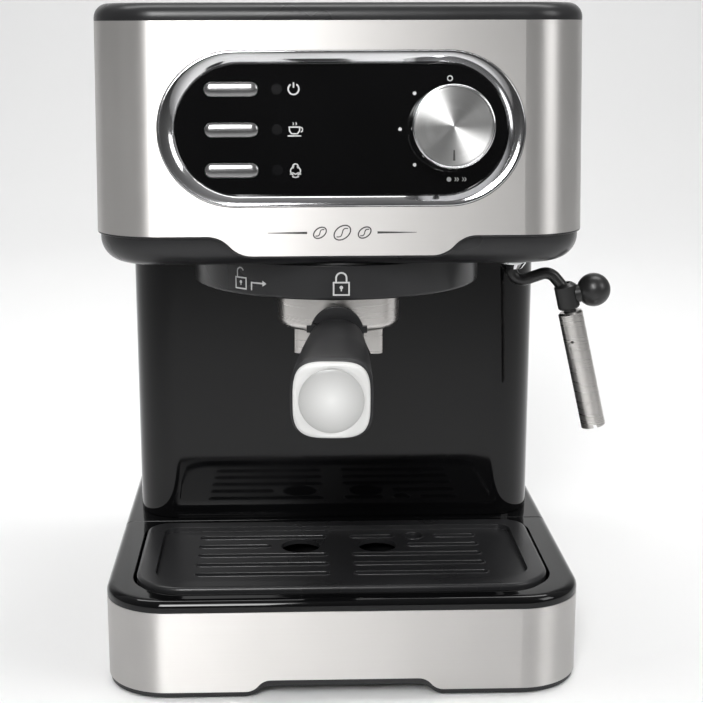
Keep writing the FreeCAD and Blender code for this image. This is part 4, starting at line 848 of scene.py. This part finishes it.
class ESPRESSO_OT_marks(bpy.types.Operator):
    """Prints the symbols on the glass and the collar and etches the emblem"""

    bl_idname = "espresso.marks"
    bl_label = "Print the symbols"

    def execute(self, context):
        spacing = 18.8
        symbol_x = -22.3
        strokes = (shifted(POWER_SYMBOL, symbol_x, spacing) + shifted(CUP_SYMBOL, symbol_x + 0.3, 0)
                   + shifted(STEAM_SYMBOL, symbol_x + 0.6, -spacing))
        strokes += self.knob_scale(panel.knob_x / MM)
        mark("panel_symbols", strokes, self.on_glass, "ink")
        mark("collar_locked_mark", PADLOCK + SHUT_BOW, on_collar(-0.2 * MM), "ink")
        unlocked = shifted(PADLOCK + OPEN_BOW, -6.5, 0, 0.9) + shifted(TURN_ARROW, 4.2, -1.6)
        mark("collar_unlocked_mark", unlocked, on_collar(-46.5 * MM), "ink")
        mark("steel_emblem", self.emblem(), panel.place, "etched")
        return {"FINISHED"}

    @staticmethod
    def on_glass(x, y, out):
        return panel.place(x, y, panel.glass + out)

    @staticmethod
    def knob_scale(x):
        """A ring at the top, three dots down the left, a dot and two pairs of chevrons at the bottom."""
        reach = 23.5
        strokes = [(arc(x, reach, 1.15, 0, 345, 23), 0.5, True)]
        for turn in (135, 180, 225):
            angle = math.radians(turn)
            strokes.append(disc(x + reach * math.cos(angle), reach * math.sin(angle), 0.85))
        strokes.append(disc(x - 0.4, -reach, 1.1))
        for shift in (3.4, 7.0):
            for back, low in ((1.1, 0.8), (0, 0.9)):
                start = x + shift - back
                strokes.append(([(start, -reach - low), (start + 0.7, -reach), (start, -reach + 0.9)],
                                0.35, False))
        return strokes

    @staticmethod
    def emblem():
        """Three beans between two tapering rules."""
        up = -48.2
        strokes = bean(0, up, 4.3, 2.9, 35) + bean(-10.5, up, 3.3, 2.2, 35) + bean(10.5, up, 3.3, 2.2, 35)
        for side in (-1, 1):
            rule = [(side * x, up + rise) for x, rise in (
                (16.5, 0.55), (35, 0.12), (35, -0.12), (16.5, -0.55))]
            strokes.append((rule[::-side], None, True))
        return strokes


class ESPRESSO_OT_knob(bpy.types.Operator):
    """Turns the chrome knob, its spun face and the engraved pointer"""

    bl_idname = "espresso.knob"
    bl_label = "Build the steam knob"

    def execute(self, context):
        top = panel.depth_of("steam_knob")
        radius = 20.0 * MM
        face = 18.1 * MM
        low = panel.glass + 0.5 * MM
        rim = [(3 * MM, low), (radius - 1.6 * MM, low), (radius - 0.7 * MM, low + 0.4 * MM),
               (radius - 0.1 * MM, low + 1.2 * MM), (radius - 0.25 * MM, low + 3 * MM)]
        rim += [(radius - (0.25 + 0.035 * step) * MM, low + (3 + step) * MM) for step in range(1, 10)]
        rim += [(radius - 0.75 * MM, top - 0.9 * MM), (radius - 0.9 * MM, top - 0.35 * MM),
                (radius - 1.2 * MM, top - 0.06 * MM), (radius - 1.5 * MM, top),
                (face + 0.1 * MM, top - 0.25 * MM), (face - 0.05 * MM, top - 0.75 * MM),
                (face - 0.05 * MM, top - 2.5 * MM), (3 * MM, top - 2.5 * MM)]
        add_piece("steam_knob_rim", lathe(rim, self.place, closed=True), "chrome", "steam_knob",
                  ("steam_knob",), crease=40)
        rings = 24
        disc_profile = [(face - 0.1 * MM, top - 2.4 * MM), (face - 0.1 * MM, top - 0.75 * MM)]
        for step in range(rings + 1):
            reach = (face - 0.3 * MM) * (1 - step / rings)
            disc_profile.append((max(reach, 0.0002 * MM), top - 0.62 * MM + 0.2 * MM * (step / rings) ** 2))
        add_piece("steam_knob_face", lathe(disc_profile, self.place, 128), "spun_metal", "steam_knob",
                  ("knob_disc",), crease=40)
        pointer = [([(-0.55, -15.6), (0.55, -15.6), (0.35, -10.8), (-0.35, -10.8)], None, True)]

        def on_face(x, y, out):
            return self.place(x, y, top - 0.47 * MM + out)

        mark("steam_knob_pointer", pointer, on_face, "etched", "steam_knob", 0.06 * MM)
        return {"FINISHED"}

    @staticmethod
    def place(x, up, out):
        return panel.place(panel.knob_x + x, up, out)


def rounded(half_width, half_height, power, count=64):
    """An outline between an ellipse, power 2, and a rectangle, a high power."""
    points = []
    for turn in full_turn(count):
        c, s = math.cos(turn), math.sin(turn)
        points.append((half_width * math.copysign(abs(c) ** (2 / power), c),
                       half_height * math.copysign(abs(s) ** (2 / power), s)))
    return points


class ESPRESSO_OT_filter_holder(bpy.types.Operator):
    """Shapes the handle, its domed end, the bowl and the spout"""

    bl_idname = "espresso.filter_holder"
    bl_label = "Build the filter holder"

    neck = 38.0
    top = 178.5
    cap_start = 127.0

    def section(self, reach, width, height, top, power):
        return [around_group(x * MM, -reach * MM, (top - height / 2 + z) * MM)
                for x, z in rounded(width / 2, height / 2, power)]

    def execute(self, context):
        self.handle()
        refine("handle_flange", 0.4 * MM, "satin_black", steps=3)
        self.end_cap()
        refine("portafilter_bowl", 0.4 * MM, "bare_steel")
        refine("spout", 0.7 * MM, "bare_steel")
        return {"FINISHED"}

    def handle(self):
        """A slim neck, a shoulder and a body that swells and squares off towards its end."""
        end = self.cap_start
        shoulder = self.neck + 4.2
        # each section is its reach, width, height, top and squareness
        sections = [(self.neck, 20.6, 16.6, 175.6, 2.1), (shoulder - 0.5, 20.6, 16.6, 175.6, 2.1),
                    (shoulder - 0.45, 24.4, 20.2, 177.5, 2.2), (shoulder - 0.2, 25.6, 21.4, 178.1, 2.2),
                    (shoulder + 0.4, 26.4, 22.2, 178.5, 2.2)]
        steps = 20
        for step in range(1, steps + 1):
            share = step / steps
            smooth = share ** 0.85
            sections.append((shoulder + 0.4 + (end - 0.9 - shoulder) * share,
                             26.4 + 9.2 * smooth + 1.2 * math.sin(math.pi * share),
                             22.2 + 13.0 * smooth + 0.8 * math.sin(math.pi * share),
                             self.top - 0.4 * share, 2.2 + 1.3 * share))
        sections.append((end, 34.2, 33.8, self.top - 1.1, 3.6))
        mesh = stack_rings([self.section(*section) for section in sections])
        add_piece("portafilter_handle_grip", mesh, "black_plastic", "portafilter",
                  ("portafilter_handle",), crease=60)

    def end_cap(self):
        """A pale rounded-square rim that rises and dips to a shallow dome."""
        width, height = 33.0, 32.6
        start = self.cap_start
        middle = self.top - 1.7 - height / 2
        round_radius = 14.2
        square = rounded(width / 2, height / 2, 3.6)
        circle = rounded(round_radius, round_radius, 2.0)
        rings = []
        for out, share in ((0.0, 0.0), (3.0, 0.0), (3.9, 0.05), (4.45, 0.16), (4.75, 0.32), (4.8, 0.5),
                           (4.7, 0.68), (4.45, 0.86), (3.9, 1.0)):
            rings.append([around_group((a[0] * (1 - share) + b[0] * share) * MM, -(start + out) * MM,
                                       (middle + a[1] * (1 - share) + b[1] * share) * MM)
                          for a, b in zip(square, circle)])
        add_piece("handle_cap_rim", stack_rings(rings), "pale_silver", "portafilter",
                  ("handle_end_cap",), crease=60)
        dome = [[around_group(x * MM, -(start + 3.6) * MM, (middle + z) * MM) for x, z in circle]]
        for turn in angles(math.pi / 2, 14):
            size = max(math.cos(turn), 0.001)
            out = 3.95 + 1.4 * math.sin(turn)
            dome.append([around_group(x * size * 0.985 * MM, -(start + out) * MM,
                                      (middle + z * size * 0.985) * MM) for x, z in circle])
        # The dome's pale colour carries a painted sheen, lightest at its middle.
        add_piece("handle_cap_dome", stack_rings(dome), "dome_silver", "portafilter", (),
                  crease=60)


class ESPRESSO_OT_wand(bpy.types.Operator):
    """Smooths the steam wand's nut and frothing sleeve"""

    bl_idname = "espresso.wand"
    bl_label = "Build the steam wand"

    def execute(self, context):
        refine("froth_sleeve", 0.3 * MM, "bare_steel")
        refine("wand_nut", 0.4 * MM, "chrome")
        return {"FINISHED"}


class ESPRESSO_OT_drip_tray(bpy.types.Operator):
    """Rounds the tray and the grid and rolls a lip round each slot"""

    bl_idname = "espresso.drip_tray"
    bl_label = "Build the drip tray"

    def execute(self, context):
        refine("drip_grid", 0.6 * MM, "satin_black", steps=3)
        refine("drip_tray", 0.5 * MM, "black_plastic")
        refine("level_float", 0.4 * MM, "satin_black")
        self.slot_lips()
        return {"FINISHED"}

    def slot_lips(self):
        """A fine rolled lip stands round every slot of the grid."""
        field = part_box("drip_grid")[1].z - 2.5 * MM
        tree = row_tree()
        pitch = 13.5
        first = -49.0
        end, middle, beside_hole, beside_float = 72.8, 6.3, 35.8, 10.8
        float_x = 40.0
        hole_radius = 5.35 * MM
        rows = [(-end, -middle, 0, 1), (middle, float_x - beside_float, 0, 1),
                (float_x + beside_float, end, 0, 1), (-end, -beside_hole, 1, 1), (beside_hole, end, 1, 1),
                (-end, -middle, 2, 3), (middle, end, 2, 3)]
        lips = []
        for left, right, row, count in rows:
            outline = stadium((right - left) / 2 * MM + 0.35 * MM, 2.1 * MM + 0.35 * MM, 10)
            shape = self.lip_shape(outline)
            place = Vector(((left + right) / 2 * MM, (first - pitch * row) * MM, field))
            lips.append(repeated(shape, tree, "satin_black", place, count, (0, -pitch * MM, 0)))
        hole = self.lip_shape([(hole_radius * math.cos(turn), hole_radius * math.sin(turn))
                               for turn in full_turn(48)])
        lips.append(repeated(hole, tree, "satin_black", Vector((float_x * MM, first * MM, field))))
        add_piece("grid_slot_lips", join_meshes(lips), "satin_black", "drip_grid", crease=60)

    @staticmethod
    def lip_shape(outline):
        """A low half-round bead along a closed outline."""
        rings = []
        size = 0.45 * MM
        count = len(outline)
        for index, (x, y) in enumerate(outline):
            before, after = Vector(outline[index - 1]), Vector(outline[(index + 1) % count])
            way = (after - before).normalized()
            side = Vector((way.y, -way.x))
            rings.append([Vector((x + side.x * size * math.cos(turn), y + side.y * size * math.cos(turn),
                                  size * math.sin(turn) - 0.05 * MM))
                          for turn in angles(math.pi, 6)])
        rings.append(rings[0])
        return stack_rings(rings, capped=False)


class ESPRESSO_OT_base(bpy.types.Operator):
    """Rounds the base, the decks and the column"""

    bl_idname = "espresso.base"
    bl_label = "Build the base and column"

    def execute(self, context):
        edge = finish_settings().edge
        refine("front_deck", edge, "gloss_black")
        refine("rear_deck", edge, "gloss_black")
        refine("base_pan", edge, "black_plastic")
        refine("column_shell", edge, "gloss_black")
        return {"FINISHED"}


class ESPRESSO_OT_collar(bpy.types.Operator):
    """Rounds the group collar"""

    bl_idname = "espresso.collar"
    bl_label = "Build the group collar"

    def execute(self, context):
        refine("group_collar", 0.5 * MM, "satin_black")
        return {"FINISHED"}


class ESPRESSO_OT_back(bpy.types.Operator):
    """Sets the cross-head screws in the service cover"""

    bl_idname = "espresso.back"
    bl_label = "Build the back"

    def execute(self, context):
        refine("back_panel", 0.3 * MM, "black_plastic")
        low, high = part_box("back_screws")
        radius = 3 * MM
        spread = Vector((high.x - low.x - 2 * radius, 0, 0))
        climb = Vector((0, 0, (high.z - low.z - 2 * radius) / 2))
        first = Vector((low.x + radius, high.y, low.z + radius))
        heads = repeated(self.screw(radius, 1.4 * MM), row_tree(), "zinc_steel", first, 3, climb, 2, spread)
        add_piece("back_screw_heads", heads, "zinc_steel", "chassis", ("back_screws",),
                  crease=40)
        return {"FINISHED"}

    @staticmethod
    def screw(radius, height):
        """A pan head with a cross cut, drawn about the head's outer face and pointing at +Y."""
        head = lathe([(0.0001 * MM, -height), (radius, -height), (radius, -height * 0.5),
                      (radius * 0.85, -height * 0.15), (radius * 0.5, 0), (0.0001 * MM, 0)],
                     lambda x, up, out: Vector((-x, out, up)), 20)
        wing = radius * 0.62
        thin = radius * 0.13
        cross = [(-thin, -wing), (thin, -wing), (thin, -thin), (wing, -thin), (wing, thin), (thin, thin),
                 (thin, wing), (-thin, wing), (-thin, thin), (-wing, thin), (-wing, -thin), (-thin, -thin)]
        cutter = stack_rings([[Vector((x, out, z)) for x, z in cross] for out in (-height * 0.6, height)])
        return cut_away(head, cutter)


def cut_away(mesh, cutter):
    """What is left of a mesh when another is taken out of it."""
    blank = stand("blank", mesh)
    tool = stand("tool", cutter)
    cut = blank.modifiers.new("cut", "BOOLEAN")
    cut.operation = "DIFFERENCE"
    cut.solver = "EXACT"
    cut.object = tool
    result = evaluated(blank)
    bpy.data.objects.remove(tool)
    return result


class ESPRESSO_OT_tank(bpy.types.Operator):
    """Rounds the water tank's lid"""

    bl_idname = "espresso.tank"
    bl_label = "Build the water tank"

    def execute(self, context):
        refine("tank_lid", 0.6 * MM, "satin_black")
        return {"FINISHED"}


class ESPRESSO_OT_cup_plate(bpy.types.Operator):
    """Embosses ribs on the cup warming plate"""

    bl_idname = "espresso.cup_plate"
    bl_label = "Build the cup plate"

    def execute(self, context):
        low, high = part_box("cup_plate")
        count = 14
        margin = 14 * MM
        pitch = (high.y - low.y - 2 * margin) / (count - 1)
        half = (high.x - low.x) / 2 - margin
        rings = []
        for share, rise in ((0.0, -0.05), (0.25, 0.16), (0.6, 0.25), (0.9, 0.27)):
            rings.append([Vector((x, y, rise * MM)) for x, y in
                          stadium(half - share * 2.0 * MM, 2.2 * MM - share * 2.0 * MM, 8)])
        first = Vector((0, low.y + margin, high.z))
        ribs = repeated(stack_rings(rings), row_tree(), "plate_steel", first, count, (0, pitch, 0))
        add_piece("cup_plate_ribs", ribs, "plate_steel", "chassis", crease=60)
        return {"FINISHED"}


class ESPRESSO_OT_stage(bpy.types.Operator):
    """Lays the floor, hangs the lights and sets the camera"""

    bl_idname = "espresso.stage"
    bl_label = "Set the stage"

    def execute(self, context):
        self.floor()
        self.sky()
        self.lights()
        self.camera()
        context.scene.view_settings.view_transform = "Standard"
        return {"FINISHED"}

    def floor(self):
        """A floor that curves up into a wall far behind."""
        half = 6.0
        profile = [(-5.0, 0.0), (1.4, 0.0)]
        profile += [(1.4 + math.sin(turn), 1.0 - math.cos(turn)) for turn in angles(math.pi / 2, 12)[1:]]
        profile.append((2.4, 4.0))
        points = [Vector((side * half, y, z)) for y, z in profile for side in (-1, 1)]
        faces = [(low, low + 1, low + 3, low + 2) for low in range(0, len(points) - 2, 2)]
        mesh = to_mesh(points, faces)
        mesh.shade_smooth()
        recipe = Recipe("floor_pale", tuple(studio_settings().floor), 0.75)
        recipe.mottle(recipe.noise((1.5, 1.5, 1.5), 2.0), 0.99, 1.01)
        mesh.materials.append(recipe.material)
        stand("floor", mesh)

    def sky(self):
        """Dark in front at eye level, brighter overhead and white behind."""
        world = bpy.data.worlds.new("studio")
        bpy.context.scene.world = world
        world.use_nodes = True
        tree = world.node_tree
        towards = add_node(tree, "ShaderNodeTexCoord").outputs["Generated"]
        lean = add_node(tree, "ShaderNodeVectorMath", [(0, towards), (1, (0, 0.88, 0.475))],
                        operation="DOT_PRODUCT")
        spread = add_node(tree, "ShaderNodeMapRange", [("From Min", -1), ("Value", lean.outputs["Value"])])
        ramp = add_node(tree, "ShaderNodeValToRGB", [("Fac", spread.outputs["Result"])])
        colour_stops(ramp, ((0.08, 0.045), (0.5, 0.2), (0.74, 0.34), (0.95, 0.6)))
        tree.links.new(ramp.outputs["Color"], tree.nodes["Background"].inputs["Color"])

    def light(self, name, place, size, power, aim, spread=180.0):
        """A rectangular light that points at a place."""
        data = bpy.data.lights.new(name, "AREA")
        data.shape = "RECTANGLE"
        data.size, data.size_y = size
        data.energy = power
        data.spread = math.radians(spread)
        lamp = stand(name, data)
        lamp.location = place
        lamp.rotation_euler = (Vector(aim) - Vector(place)).to_track_quat("-Z", "Y").to_euler()

    def lights(self):
        power = studio_settings().softbox
        self.light("front_softbox", (-0.33, -1.75, 1.3), (0.55, 1.0), power * 0.62, (-0.02, -0.1, 0.25), 44)
        self.light("right_softbox", (1.7, -1.1, 1.2), (0.8, 1.0), power * 0.35, (0, -0.1, 0.2), 60)
        self.light("backdrop_light", (0, 0.3, 2.4), (3.0, 0.8), power * 13, (0, 1.8, 0.3))

    def camera(self):
        """The lens stands a little left of the middle and looks slightly down."""
        data = bpy.data.cameras.new("camera")
        data.sensor_width = 36
        data.lens = studio_settings().lens
        data.shift_x, data.shift_y = 0.0384, 0.0241
        data.clip_start, data.clip_end = 0.01, 50
        camera = stand("camera", data)
        down, aside, roll = math.radians(12.948), math.radians(1.595), math.radians(-0.151)
        turn = (Matrix.Rotation(-aside, 4, "Z") @ Matrix.Rotation(math.pi / 2 - down, 4, "X")
                @ Matrix.Rotation(roll, 4, "Z"))
        camera.matrix_world = Matrix.Translation((-27.7 * MM, -795.0 * MM, 313.7 * MM)) @ turn
        bpy.context.scene.camera = camera


class ESPRESSO_PT_parts(bpy.types.Panel):
    """Lists the steps that build the machine"""

    bl_idname = "ESPRESSO_PT_parts"
    bl_label = "Espresso machine"
    bl_space_type = "VIEW_3D"
    bl_region_type = "UI"
    bl_category = "Espresso"

    def draw(self, context):
        for settings in (context.scene.espresso_finish, context.scene.espresso_studio):
            for name in settings.__annotations__:
                self.layout.prop(settings, name)
        for operator in OPERATORS:
            self.layout.operator(operator.bl_idname)


OPERATORS = (ESPRESSO_OT_finishes, ESPRESSO_OT_head, ESPRESSO_OT_panel, ESPRESSO_OT_marks, ESPRESSO_OT_knob,
             ESPRESSO_OT_filter_holder, ESPRESSO_OT_wand, ESPRESSO_OT_drip_tray, ESPRESSO_OT_base,
             ESPRESSO_OT_collar, ESPRESSO_OT_back, ESPRESSO_OT_tank, ESPRESSO_OT_cup_plate, ESPRESSO_OT_stage)
CLASSES = (FinishSettings, StudioSettings, *OPERATORS, ESPRESSO_PT_parts)


def register():
    for cls in CLASSES:
        bpy.utils.register_class(cls)
    bpy.types.Scene.espresso_finish = bpy.props.PointerProperty(type=FinishSettings)
    bpy.types.Scene.espresso_studio = bpy.props.PointerProperty(type=StudioSettings)


def unregister():
    del bpy.types.Scene.espresso_studio
    del bpy.types.Scene.espresso_finish
    for cls in reversed(CLASSES):
        bpy.utils.unregister_class(cls)


def main():
    register()
    for operator in OPERATORS:
        group, name = operator.bl_idname.split(".")
        getattr(getattr(bpy.ops, group), name)()


if __name__ == "__main__":
    main()
